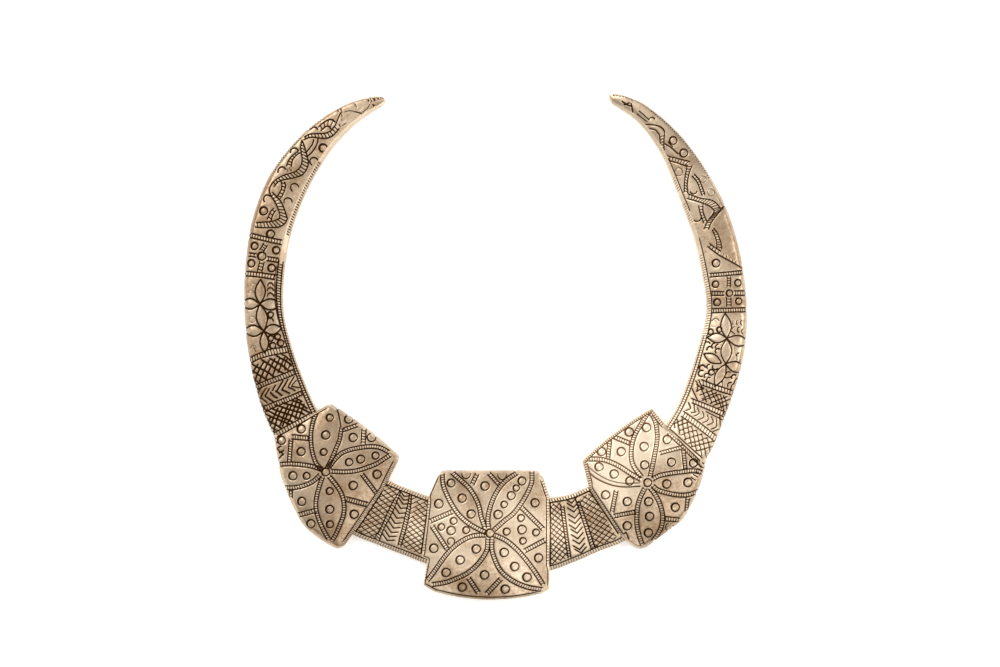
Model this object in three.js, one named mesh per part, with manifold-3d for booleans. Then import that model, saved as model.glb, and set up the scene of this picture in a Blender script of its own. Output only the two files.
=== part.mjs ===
// Torc: a stiff neck ring of engraved silver sheet, raised on a flat back and soldered into one
// rigid piece. Two horned arms leave an open mouth at the nape. Three broad plaques and the two
// links between them lie on the chest.
// Millimetres. The ring lies on its flat back with the engraved face up: +Z leaves the face,
// +Y runs from the middle plaque to the mouth, and +X goes to the wearer's left.

import * as THREE from 'three';
import { mergeVertices } from 'three/addons/utils/BufferGeometryUtils.js';
import Module from 'manifold-3d';

const wasm = await Module();
wasm.setup();

// ---------------------------------------------------------------- driving dimensions

const WALL_RUN = 1.8; // how far the band's wall leans in between its foot and its crease
const KNEE_UP = 0.85; // share of a wall's height where its steep foot turns into its bevel
const KNEE_IN = 0.1; // share of the wall's lean that lies below that knee
const BAND_CREASE = 0.76; // height of the band's crease, as a share of the height of its crown
const CROWN_AT = 0.48; // where the arm's crown lies across its face, from crease to outer edge
const SHOULDER = 6; // the larger, the later the arm's face turns down to the outer edge
const PLAQUE_CREASE = 6.3; // height of a plaque's crease above the flat back
const PLAQUE_RISE = 1.7; // how far a plaque's face swells above its crease
const SWELL_POWER = 2.4; // the larger, the flatter the middle of the plaque
const SLICE_STEP = 4; // most degrees between two slices of the band
const OUTLINE_STEP = 3.2; // spacing of the points along a plaque's sides
const CORNER_STEPS = 4; // facets of a rounded corner

const SILVER = { color: 0xc8b496, roughness: 0.38, metalness: 0.9 };

// ---------------------------------------------------------------- tables

// The band, slice by slice round the neck. angle is taken anticlockwise from +X, inner and
// outer are the radii of the slice's two edges, and height is that of its crown.
const RIGHT_ARM = [
  { angle: -34.0, inner: 74.0, outer: 94.5, height: 6.0 },
  { angle: -26.0, inner: 74.8, outer: 95.8, height: 6.8 },
  { angle: -18.0, inner: 76.5, outer: 95.9, height: 7.0 },
  { angle: -9.0, inner: 78.4, outer: 97.5, height: 7.0 },
  { angle: 0.0, inner: 81.2, outer: 99.9, height: 6.8 },
  { angle: 10.0, inner: 85.8, outer: 102.1, height: 6.6 },
  { angle: 20.0, inner: 87.9, outer: 104.6, height: 6.3 },
  { angle: 30.0, inner: 91.1, outer: 107.6, height: 5.9 },
  { angle: 40.0, inner: 95.3, outer: 110.3, height: 5.5 },
  { angle: 50.0, inner: 102.2, outer: 113.0, height: 5.0 },
  { angle: 58.0, inner: 106.7, outer: 114.1, height: 4.3 },
  { angle: 62.5, inner: 107.6, outer: 113.4, height: 3.7 },
  { angle: 64.3, inner: 107.9, outer: 112.5, height: 3.2 },
  { angle: 64.9, inner: 108.4, outer: 112.0, height: 2.9 },
  { angle: 65.35, inner: 109.3, outer: 111.5, height: 2.6 },
  { angle: 65.6, inner: 110.0, outer: 111.0, height: 2.4 },
];

const LEFT_ARM = [
  { angle: 114.0, inner: 107.9, outer: 109.3, height: 2.4 },
  { angle: 114.25, inner: 107.3, outer: 109.9, height: 2.6 },
  { angle: 114.7, inner: 106.9, outer: 110.5, height: 2.9 },
  { angle: 115.6, inner: 106.5, outer: 111.3, height: 3.3 },
  { angle: 117.5, inner: 106.2, outer: 112.3, height: 3.8 },
  { angle: 122.0, inner: 105.3, outer: 114.1, height: 4.3 },
  { angle: 130.0, inner: 102.5, outer: 115.0, height: 5.0 },
  { angle: 140.0, inner: 98.0, outer: 114.0, height: 5.5 },
  { angle: 150.0, inner: 93.8, outer: 110.6, height: 5.9 },
  { angle: 160.0, inner: 89.6, outer: 105.8, height: 6.3 },
  { angle: 170.0, inner: 85.9, outer: 101.8, height: 6.6 },
  { angle: 180.0, inner: 81.2, outer: 98.9, height: 6.8 },
  { angle: 189.0, inner: 77.8, outer: 97.2, height: 7.0 },
  { angle: 198.0, inner: 75.7, outer: 95.9, height: 6.8 },
  { angle: 206.0, inner: 74.8, outer: 94.5, height: 6.0 },
];

const LEFT_LINK = [
  { angle: 226.0, inner: 69.7, outer: 93.0, height: 5.0 },
  { angle: 232.0, inner: 67.9, outer: 94.0, height: 5.6 },
  { angle: 239.0, inner: 66.1, outer: 91.8, height: 6.0 },
  { angle: 246.0, inner: 65.2, outer: 90.6, height: 6.0 },
  { angle: 252.0, inner: 65.1, outer: 90.6, height: 5.6 },
  { angle: 256.0, inner: 65.2, outer: 89.8, height: 5.0 },
];

const RIGHT_LINK = [
  { angle: 279.0, inner: 63.8, outer: 90.6, height: 5.0 },
  { angle: 284.0, inner: 63.4, outer: 91.8, height: 5.6 },
  { angle: 290.0, inner: 64.1, outer: 91.4, height: 6.0 },
  { angle: 297.0, inner: 65.9, outer: 91.4, height: 6.0 },
  { angle: 303.5, inner: 66.9, outer: 93.0, height: 5.6 },
  { angle: 309.0, inner: 68.4, outer: 92.8, height: 5.0 },
];

// The plaques' outlines, corner by corner, anticlockwise. round is the corner's radius. The
// side that runs on to the next corner swells out by bow, leans in by run from its foot to the
// top of its wall, and rolls over instead of creasing where soft is 1.
const LEFT_PLAQUE = {
  crown: { x: -67.8, y: -50.2 },
  corners: [
    { x: -65.6, y: -22.2, round: 2.4, bow: 0.0, run: 1.0, soft: 0 },
    { x: -88.6, y: -35.2, round: 1.5, bow: 0.0, run: 2.6, soft: 1 },
    { x: -85.6, y: -52.0, round: 9.0, bow: 0.3, run: 3.0, soft: 1 },
    { x: -77.0, y: -71.4, round: 16.0, bow: 0.2, run: 3.0, soft: 1 },
    { x: -61.8, y: -81.8, round: 4.4, bow: 0.0, run: 1.7, soft: 0 },
    { x: -44.0, y: -56.0, round: 0.0, bow: 0.0, run: 1.8, soft: 0 },
    { x: -37.7, y: -43.6, round: 2.4, bow: 0.8, run: 1.6, soft: 1 },
  ],
};

const CENTRE_PLAQUE = {
  crown: { x: -2.0, y: -74.2 },
  corners: [
    { x: -21.9, y: -49.1, round: 3.4, bow: 0.0, run: 0.8, soft: 0 },
    { x: -26.0, y: -59.0, round: 0.0, bow: 0.0, run: 1.8, soft: 0 },
    { x: -29.8, y: -83.3, round: 0.0, bow: 0.0, run: 0.8, soft: 0 },
    { x: -26.8, y: -84.4, round: 0.0, bow: 0.0, run: 0.8, soft: 0 },
    { x: -28.8, y: -94.6, round: 0.8, bow: 0.0, run: 1.2, soft: 0 },
    { x: -23.6, y: -97.6, round: 3.0, bow: 2.5, run: 1.2, soft: 0 },
    { x: 18.0, y: -98.4, round: 4.0, bow: 0.0, run: 0.9, soft: 0 },
    { x: 21.8, y: -96.2, round: 1.5, bow: 0.0, run: 0.8, soft: 0 },
    { x: 21.8, y: -87.6, round: 0.0, bow: 0.0, run: 1.4, soft: 0 },
    { x: 21.8, y: -59.4, round: 0.0, bow: 0.0, run: 1.5, soft: 0 },
    { x: 18.4, y: -49.1, round: 4.4, bow: 0.0, run: 1.3, soft: 1 },
  ],
};

const RIGHT_PLAQUE = {
  crown: { x: 61.0, y: -54.0 },
  corners: [
    { x: 62.6, y: -24.0, round: 1.0, bow: 1.0, run: 1.1, soft: 0 },
    { x: 34.6, y: -45.2, round: 1.0, bow: 0.0, run: 1.9, soft: 0 },
    { x: 37.2, y: -55.8, round: 0.0, bow: 0.0, run: 1.4, soft: 0 },
    { x: 50.8, y: -76.2, round: 0.0, bow: 0.0, run: 1.5, soft: 1 },
    { x: 58.2, y: -82.0, round: 4.4, bow: 0.0, run: 3.0, soft: 1 },
    { x: 76.8, y: -68.4, round: 13.0, bow: 0.9, run: 3.0, soft: 1 },
    { x: 84.6, y: -45.0, round: 1.5, bow: 0.0, run: 1.0, soft: 0 },
    { x: 68.8, y: -31.8, round: 0.0, bow: 0.0, run: 1.8, soft: 0 },
  ],
};

// ---------------------------------------------------------------- shared shape helpers

const mix = THREE.MathUtils.lerp;

// Skins a stack of closed rings and closes its two ends with fans round the two centres.
function loft(rings, firstCentre, lastCentre) {
  const count = rings[0].length;
  const first = rings.length * count;
  const last = first + 1;
  const top = first - count;
  const faces = [];
  for (let i = 0; i < count; i++) {
    const next = (i + 1) % count;
    for (let level = 0; level < rings.length - 1; level++) {
      const low = level * count;
      const high = low + count;
      faces.push(low + i, low + next, high + next);
      faces.push(low + i, high + next, high + i);
    }
    faces.push(first, next, i);
    faces.push(last, top + i, top + next);
  }
  const geometry = new THREE.BufferGeometry();
  geometry.setFromPoints([...rings.flat(), firstCentre, lastCentre]);
  geometry.setIndex(faces);
  return geometry;
}

function toSolid(geometry) {
  const merged = mergeVertices(geometry);
  const vertProperties = Float32Array.from(merged.attributes.position.array);
  const triVerts = Uint32Array.from(merged.index.array);
  return new wasm.Manifold(new wasm.Mesh({ numProp: 3, vertProperties, triVerts }));
}

function toGeometry(solid) {
  const mesh = solid.getMesh();
  const geometry = new THREE.BufferGeometry();
  geometry.setAttribute('position', new THREE.BufferAttribute(mesh.vertProperties, 3));
  geometry.setIndex(new THREE.BufferAttribute(mesh.triVerts, 1));
  return geometry;
}

// ---------------------------------------------------------------- the band

// Slope of one column of a table at a row, from the rows on both sides of it.
function slopeAt(rows, row, column) {
  const before = rows[Math.max(row - 1, 0)];
  const after = rows[Math.min(row + 1, rows.length - 1)];
  return (after[column] - before[column]) / (after.angle - before.angle);
}

// A smooth curve through one column of a table, read at any angle.
function readColumn(rows, column, angle) {
  let row = 0;
  while (row < rows.length - 2 && angle > rows[row + 1].angle) {
    row += 1;
  }
  const span = rows[row + 1].angle - rows[row].angle;
  const t = (angle - rows[row].angle) / span;
  const bend = t * t * (3 - 2 * t);
  const leave = slopeAt(rows, row, column) * span * t * (1 - t) * (1 - t);
  const arrive = slopeAt(rows, row + 1, column) * span * t * t * (1 - t);
  return mix(rows[row][column], rows[row + 1][column], bend) + leave - arrive;
}

// Across an arm: a wall that leans up to a crease on the neck side, then a face that swells to
// its crown and rolls down over the outer side to the back. Pairs of width and height shares.
function armProfile(wall) {
  const face = [0, 0.16, 0.32, CROWN_AT, 0.68, 0.8, 0.89, 0.95, 0.985, 1].map((share) => {
    const rise = Math.sin((Math.min(share / CROWN_AT, 1) * Math.PI) / 2);
    const fall = Math.max(share - CROWN_AT, 0) / (1 - CROWN_AT);
    const level = mix(BAND_CREASE, 1, rise) * Math.sqrt(1 - fall ** SHOULDER);
    return [mix(wall, 1, share), level];
  });
  return [[0, 0], [wall * KNEE_IN, KNEE_UP * BAND_CREASE], ...face];
}

// Across a link: a leaning wall on both sides and a gently crowned face between the creases.
function linkProfile(wall) {
  const face = [0, 0.15, 0.35, 0.5, 0.65, 0.85, 1].map((share) => {
    const level = mix(BAND_CREASE, 1, Math.sin(share * Math.PI) ** 0.7);
    return [mix(wall, 1 - wall, share), level];
  });
  const knee = wall * KNEE_IN;
  const kneeLevel = KNEE_UP * BAND_CREASE;
  return [[0, 0], [knee, kneeLevel], ...face, [1 - knee, kneeLevel], [1, 0]];
}

// Every row of the table, and evenly spaced slices between one row and the next.
function sliceAngles(rows) {
  const angles = [rows[0].angle];
  rows.slice(1).forEach((row, i) => {
    const gap = row.angle - rows[i].angle;
    const steps = Math.ceil(gap / SLICE_STEP);
    for (let step = 1; step <= steps; step++) {
      angles.push(rows[i].angle + (gap * step) / steps);
    }
  });
  return angles;
}

function band(rows, profile) {
  const slices = sliceAngles(rows).map((angle) => {
    const inner = readColumn(rows, 'inner', angle);
    const outer = readColumn(rows, 'outer', angle);
    const height = readColumn(rows, 'height', angle);
    const wall = Math.min(WALL_RUN / (outer - inner), 0.25);
    const turn = THREE.MathUtils.degToRad(angle);
    return profile(wall).map(([across, up]) => {
      const radius = mix(inner, outer, across);
      return new THREE.Vector3(radius * Math.cos(turn), radius * Math.sin(turn), height * up);
    });
  });
  return loft(slices, sliceCentre(slices[0]), sliceCentre(slices[slices.length - 1]));
}

function sliceCentre(slice) {
  const sum = slice.reduce((total, point) => total.add(point), new THREE.Vector3());
  return sum.divideScalar(slice.length);
}

// ---------------------------------------------------------------- the plaques

// The two ends and the middle of the arc that rounds a corner.
function roundCorner(previous, corner, next) {
  const at = new THREE.Vector2(corner.x, corner.y);
  const back = new THREE.Vector2(previous.x, previous.y).sub(at).normalize();
  const ahead = new THREE.Vector2(next.x, next.y).sub(at).normalize();
  const half = Math.acos(THREE.MathUtils.clamp(back.dot(ahead), -1, 1)) / 2;
  const reach = corner.round / Math.tan(half);
  return {
    start: at.clone().addScaledVector(back, reach),
    end: at.clone().addScaledVector(ahead, reach),
    at,
  };
}

// Points round a plaque: each corner's arc, then the side that follows it, with its edge.
function walkOutline(corners) {
  const count = corners.length;
  const turns = corners.map((corner, i) => (
    roundCorner(corners[(i + count - 1) % count], corner, corners[(i + 1) % count])
  ));
  const points = [];
  corners.forEach((corner, i) => {
    const before = corners[(i + count - 1) % count];
    const { start, at, end } = turns[i];
    const arcSteps = corner.round > 0 ? CORNER_STEPS : 0;
    for (let step = 0; step < arcSteps; step++) {
      const t = step / arcSteps;
      const arc = start.clone().multiplyScalar((1 - t) ** 2);
      arc.addScaledVector(at, 2 * t * (1 - t)).addScaledVector(end, t * t);
      const run = mix(before.run, corner.run, t);
      points.push({ x: arc.x, y: arc.y, run, soft: mix(before.soft, corner.soft, t) });
    }
    const target = turns[(i + 1) % count].start;
    const side = target.clone().sub(end);
    const sideSteps = Math.max(Math.round(side.length() / OUTLINE_STEP), 1);
    const out = new THREE.Vector2(side.y, -side.x).normalize();
    for (let step = 0; step < sideSteps; step++) {
      const t = step / sideSteps;
      const place = end.clone().addScaledVector(side, t);
      place.addScaledVector(out, 4 * corner.bow * t * (1 - t));
      points.push({ x: place.x, y: place.y, run: corner.run, soft: corner.soft });
    }
  });
  return points;
}

// Evens out the change from one side's edge to the next one's.
function easeEdges(points) {
  const count = points.length;
  return points.map((point, i) => {
    const before = points[(i + count - 1) % count];
    const after = points[(i + 1) % count];
    const run = (before.run + 2 * point.run + after.run) / 4;
    return { ...point, run, soft: (before.soft + 2 * point.soft + after.soft) / 4 };
  });
}

// How much of a creased wall's lean is done at a share of its height.
function creasedLean(up) {
  return up < KNEE_UP
    ? (KNEE_IN * up) / KNEE_UP
    : mix(KNEE_IN, 1, (up - KNEE_UP) / (1 - KNEE_UP));
}

// The outline at one height of the wall. up is the share of the crease's height.
function wallRing(outline, up) {
  const count = outline.length;
  return outline.map((point, i) => {
    const before = outline[(i + count - 1) % count];
    const after = outline[(i + 1) % count];
    const inward = new THREE.Vector2(before.y - after.y, after.x - before.x).normalize();
    const rolled = 1 - Math.sqrt(1 - up * up);
    const inset = point.run * mix(creasedLean(up), rolled, point.soft);
    return new THREE.Vector3(
      point.x + inward.x * inset, point.y + inward.y * inset, PLAQUE_CREASE * up,
    );
  });
}

function plaque({ crown, corners }) {
  const outline = easeEdges(easeEdges(walkOutline(corners)));
  const wall = [0, 0.35, 0.65, KNEE_UP, 0.95, 1].map((up) => wallRing(outline, up));
  const crease = wall[wall.length - 1];
  const top = new THREE.Vector3(crown.x, crown.y, PLAQUE_CREASE + PLAQUE_RISE);
  const face = [0.12, 0.3, 0.55, 0.8].map((share) => crease.map((point) => {
    const swell = 1 - (1 - share) ** SWELL_POWER;
    const place = point.clone().lerp(top, share);
    place.z = PLAQUE_CREASE + PLAQUE_RISE * swell;
    return place;
  }));
  return loft([...wall, ...face], new THREE.Vector3(crown.x, crown.y, 0), top);
}

// ---------------------------------------------------------------- the torc

// The arms, the links and the plaques are soldered edge to edge, so they are joined here.
const shapes = [
  band(RIGHT_ARM, armProfile),
  band(LEFT_ARM, armProfile),
  band(LEFT_LINK, linkProfile),
  band(RIGHT_LINK, linkProfile),
  plaque(LEFT_PLAQUE),
  plaque(CENTRE_PLAQUE),
  plaque(RIGHT_PLAQUE),
];
const body = toGeometry(shapes.map(toSolid).reduce((joined, solid) => joined.add(solid)));

// The origin is the middle of the ring's own box, on the surface that it lies on.
body.computeBoundingBox();
const middle = body.boundingBox.getCenter(new THREE.Vector3());
body.translate(-middle.x, -middle.y, 0);
body.computeVertexNormals();

const torcBody = new THREE.Mesh(body, new THREE.MeshStandardMaterial(SILVER));
torcBody.name = 'torc_body';

const torc = new THREE.Group();
torc.add(torcBody);

export default torc;
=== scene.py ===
# %% [markdown]
# # A torc of engraved silver sheet
# This lesson finishes a stiff neck ring: two horned arms, three broad plaques and the two
# links between them. The real one is low-grade silver sheet, raised over a flat back,
# soldered into one rigid piece, then chased all over with short punches and darkened with
# age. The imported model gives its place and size. Here each sheet gets a fine mesh, its
# punched pattern and its tarnished skin.

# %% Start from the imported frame
import math

import bmesh
import bpy
import numpy as np
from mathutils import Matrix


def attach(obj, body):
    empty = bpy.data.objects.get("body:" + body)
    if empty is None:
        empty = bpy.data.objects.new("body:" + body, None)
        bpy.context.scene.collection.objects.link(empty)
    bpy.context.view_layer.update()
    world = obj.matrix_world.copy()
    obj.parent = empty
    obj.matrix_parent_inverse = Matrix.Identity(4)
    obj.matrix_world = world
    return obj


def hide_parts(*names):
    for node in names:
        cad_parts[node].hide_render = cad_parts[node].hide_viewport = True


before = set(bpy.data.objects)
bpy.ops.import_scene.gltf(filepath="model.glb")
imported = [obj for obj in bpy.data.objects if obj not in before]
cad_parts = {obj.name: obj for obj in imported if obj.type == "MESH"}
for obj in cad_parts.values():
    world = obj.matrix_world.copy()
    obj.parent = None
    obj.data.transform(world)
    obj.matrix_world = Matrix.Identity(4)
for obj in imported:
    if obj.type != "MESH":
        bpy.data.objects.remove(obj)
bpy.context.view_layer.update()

MM = 0.001  # the scene is in metres, the tables below are in millimetres

# %% [markdown]
# ## The plan
# All tables lie in one plan, seen from straight above, with the wearer's neck at its middle.
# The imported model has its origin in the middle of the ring's own box, which lies a hair
# beside the middle of the plan, so every finished mesh is shifted by that hair.

# %% Shared numbers
PLAN_MIDDLE = np.array([0.21, 0.46, 0.0])  # the middle of the ring's box in the plan
KNEE_UP = 0.85  # share of a wall's height where its steep foot turns into its bevel
KNEE_IN = 0.1  # share of the wall's lean that lies below that knee
TICK_WIDTH = 0.3  # a short stroke of the liner, across a ladder
FAR = 2.0  # stands for "no mark near", in millimetres
MESH_STEP = 0.215  # size of a face of the fine meshes
print("the faces are about", MESH_STEP, "mm wide")


def mix(a, b, share):
    """The value that lies share of the way from a to b."""
    return a + (b - a) * share


def smooth(value):
    """Eases 0 to 1, and holds at both ends."""
    held = np.clip(value, 0, 1)
    return held * held * (3 - 2 * held)


# %% [markdown]
# ## Fine meshes from a grid
# A sheet that is raised over a form has no corners inside it, so one fine grid fits it. The
# grid operator makes the faces, and a function of each corner's column and row says where
# it goes. Three numbers travel with every corner for the engraver: how much it lies on a
# wall, how far it is from the nearest tick of that wall, and how far from the crease line.

# %% A grid laid over a form
SHARP_ANGLE = math.radians(75)  # only the foot, where the sheet meets the flat back
SEAM = 0.0005  # corners of a seam lie nearer to each other than this


def lay_grid(columns, rows, place):
    """A grid of faces. place(column, row) gives each corner's spot, wall, tick and crease."""
    bm = bmesh.new()
    bmesh.ops.create_grid(bm, x_segments=columns, y_segments=rows, size=1)
    flat = np.array([vert.co for vert in bm.verts])
    column = np.rint((flat[:, 0] + 1) / 2 * columns)
    row = np.rint((flat[:, 1] + 1) / 2 * rows)
    spots, *numbers = place(column, row)
    layers = [bm.verts.layers.float.new(name) for name in ("wall", "tick", "crease")]
    for vert, spot in zip(bm.verts, spots * MM):
        vert.co = spot
    for layer, values in zip(layers, numbers):
        for vert, value in zip(bm.verts, values):
            vert[layer] = value
    return bm


def finish_grid(bm, name):
    """Merges touching seams, closes the open loops and makes the object."""
    bmesh.ops.remove_doubles(bm, verts=bm.verts, dist=SEAM * MM)
    open_edges = [edge for edge in bm.edges if edge.is_boundary]
    bmesh.ops.holes_fill(bm, edges=open_edges, sides=0)
    bmesh.ops.recalc_face_normals(bm, faces=bm.faces)
    for face in bm.faces:
        face.smooth = True
    for edge in bm.edges:
        if edge.calc_face_angle(0) > SHARP_ANGLE:
            edge.smooth = False
    mesh = bpy.data.meshes.new(name)
    bm.to_mesh(mesh)
    bm.free()
    piece = bpy.data.objects.new(name, mesh)
    bpy.context.scene.collection.objects.link(piece)
    print(name, "has", len(mesh.polygons), "faces")
    return piece


# %% [markdown]
# ## The arms and the links
# An arm is a strip of sheet bent round the neck. Toward the neck it has a leaning wall and a
# crease, and outside it rolls over to the back. A link has a crease on both sides. Each is
# laid out like a map: one row of a table for each angle round the neck, and a smooth curve
# from row to row. The radii were first read by eye, and then corrected with the help of a
# measuring program. Left and right are those of someone who faces the wearer.

# %% The bands, slice by slice
CREASE_LEVEL = 0.76  # height of the band's crease, as a share of the height of its crown
CROWN_AT = 0.48  # where the crown lies across the arm's face, from crease to outer edge
SHOULDER = 8.0  # the larger, the later the arm's face turns down to the outer edge
LINK_SWELL = 0.7  # the smaller, the flatter the middle of a link
CURVE_SAMPLES = 4000  # points along a cross-section, to measure its length

# angle (degrees anticlockwise from +X), inner and outer radius, height of the crown, and run,
# how far the wall toward the neck leans in between its foot and its crease
RIGHT_ARM = [
    (-34.0, 74.0, 94.5, 6.0, 1.7),
    (-26.0, 74.8, 95.8, 6.8, 1.8),
    (-18.0, 76.5, 95.9, 7.0, 1.9),
    (-9.0, 78.4, 97.5, 7.0, 1.9),
    (0.0, 81.2, 99.9, 6.8, 1.9),
    (10.0, 85.8, 102.1, 6.6, 1.9),
    (20.0, 87.9, 104.6, 6.3, 1.9),
    (30.0, 91.1, 107.6, 5.9, 1.9),
    (40.0, 95.3, 110.3, 5.5, 1.9),
    (50.0, 102.2, 113.0, 5.0, 1.7),
    (58.0, 106.7, 114.1, 4.3, 1.4),
    (62.5, 107.6, 113.4, 3.7, 1.2),
    (64.3, 107.9, 112.5, 3.2, 1.0),
    (64.9, 108.4, 112.0, 2.9, 0.8),
    (65.35, 109.3, 111.5, 2.6, 0.6),
    (65.6, 110.0, 111.0, 2.4, 0.3),
]
LEFT_ARM = [
    (114.0, 107.9, 109.3, 2.4, 0.4),
    (114.25, 107.3, 109.9, 2.6, 0.6),
    (114.7, 106.9, 110.5, 2.9, 0.8),
    (115.6, 106.5, 111.3, 3.3, 1.0),
    (117.5, 106.2, 112.3, 3.8, 1.2),
    (122.0, 105.3, 114.1, 4.3, 1.4),
    (130.0, 102.5, 115.0, 5.0, 1.6),
    (140.0, 98.0, 114.0, 5.5, 1.7),
    (150.0, 93.8, 110.6, 5.9, 2.0),
    (160.0, 89.6, 105.8, 6.3, 2.5),
    (170.0, 85.9, 101.8, 6.6, 2.1),
    (180.0, 81.2, 98.9, 6.8, 1.5),
    (189.0, 77.8, 97.2, 7.0, 1.8),
    (198.0, 75.7, 95.9, 6.8, 2.1),
    (206.0, 74.8, 94.5, 6.0, 1.9),
]
LEFT_LINK = [
    (226.0, 69.7, 93.0, 5.0, 1.6),
    (232.0, 67.9, 94.0, 5.6, 1.6),
    (239.0, 66.1, 91.8, 6.0, 1.6),
    (246.0, 65.2, 90.6, 6.0, 1.6),
    (252.0, 65.1, 90.6, 5.6, 1.6),
    (256.0, 65.2, 89.8, 5.0, 1.6),
]
RIGHT_LINK = [
    (279.0, 63.8, 90.6, 5.0, 1.6),
    (284.0, 63.4, 91.8, 5.6, 1.6),
    (290.0, 64.1, 91.4, 6.0, 1.6),
    (297.0, 65.9, 91.4, 6.0, 1.6),
    (303.5, 66.9, 93.0, 5.6, 1.6),
    (309.0, 68.4, 92.8, 5.0, 1.6),
]


def read_column(table, column, angles):
    """A smooth curve through one column of a band's table, read at each angle."""
    at = np.array([row[0] for row in table])
    value = np.array([row[column] for row in table])
    index = np.arange(len(table))
    before = np.maximum(index - 1, 0)
    after = np.minimum(index + 1, len(table) - 1)
    slope = (value[after] - value[before]) / (at[after] - at[before])
    row = np.clip(np.searchsorted(at, angles, side="right") - 1, 0, len(table) - 2)
    span = at[row + 1] - at[row]
    t = (angles - at[row]) / span
    leave = slope[row] * span * t * (1 - t) ** 2
    arrive = slope[row + 1] * span * t * t * (1 - t)
    return mix(value[row], value[row + 1], t * t * (3 - 2 * t)) + leave - arrive


# %% The cross-sections
def arm_level(share):
    """Height of the arm's face as a share of its crown, from crease to outer foot."""
    rise = np.sin(np.minimum(share / CROWN_AT, 1) * math.pi / 2)
    fall = np.maximum(share - CROWN_AT, 0) / (1 - CROWN_AT)
    return mix(CREASE_LEVEL, 1, rise) * np.sqrt(np.maximum(1 - fall**SHOULDER, 0))


def link_level(share):
    """The same for a link, from one crease to the other."""
    return mix(CREASE_LEVEL, 1, np.abs(np.sin(share * math.pi)) ** LINK_SWELL)


def even_shares(level, width, height):
    """Shares across a face that lie evenly along its curve, about MESH_STEP apart."""
    dense = 0.5 - 0.5 * np.cos(np.linspace(0, math.pi, CURVE_SAMPLES))
    steps = np.hypot(np.diff(dense) * width, np.diff(level(dense)) * height)
    length = np.concatenate([[0], np.cumsum(steps)])
    count = int(length[-1] / MESH_STEP)
    return np.interp(np.linspace(0, length[-1], count + 1), length, dense)


# %% Walls and ticks
STEEP_ROWS = 7
BEVEL_ROWS = 9
WALL_TICK = 0.2  # width of a tick on a wall


def wall_rows():
    """Lean and height shares of a wall's rows: its steep foot, then the bevel over the knee."""
    low = np.linspace(0, 1, STEEP_ROWS + 1)[:-1]
    high = np.linspace(0, 1, BEVEL_ROWS + 1)[:-1]
    lean = np.concatenate([low * KNEE_IN, mix(KNEE_IN, 1, high)])
    return lean, np.concatenate([low * KNEE_UP, mix(KNEE_UP, 1, high)])


def tick_gap(along, pitch):
    """Millimetres to the nearest of a row of ticks, pitch apart."""
    return np.abs((along / pitch + 0.5) % 1 - 0.5) * pitch - WALL_TICK / 2


def outside(angle, ranges):
    """0 within any of the ranges of angles, rising to FAR over a degree beyond them."""
    inside = np.max([np.minimum(angle - first, last - angle) for first, last in ranges], axis=0)
    return (1 - smooth(inside + 1)) * FAR


# %% Making a band
BACK_SHARES = np.array([0.91, 0.5, 0.03, 0.0])  # rows of the back, from outer to inner edge
BAND_LIFT = 0.1  # the bands' backs lie this much higher than the plaques'
MOST_WALL = 0.25  # a wall takes at most this share of a band's width, near the tips
CREASE_LINE = 0.42  # width of the line along a crease
CREASE_AT = -0.1  # and how far inside the crease it runs, below zero on the wall's side
SHORT_TICK = 0.96  # share of a wall's height at which the short ticks of a horn stop
FOOT_SHADE_LINE = 0.3  # width of the dark line of painted shade cut along the foot of a wall
FOOT_SHADE_AT = 0.6  # and how far it runs from the edge
EVERY_ANGLE = [(-90, 330)]
NOWHERE = [(0, -9)]  # a range that ends before it starts


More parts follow.
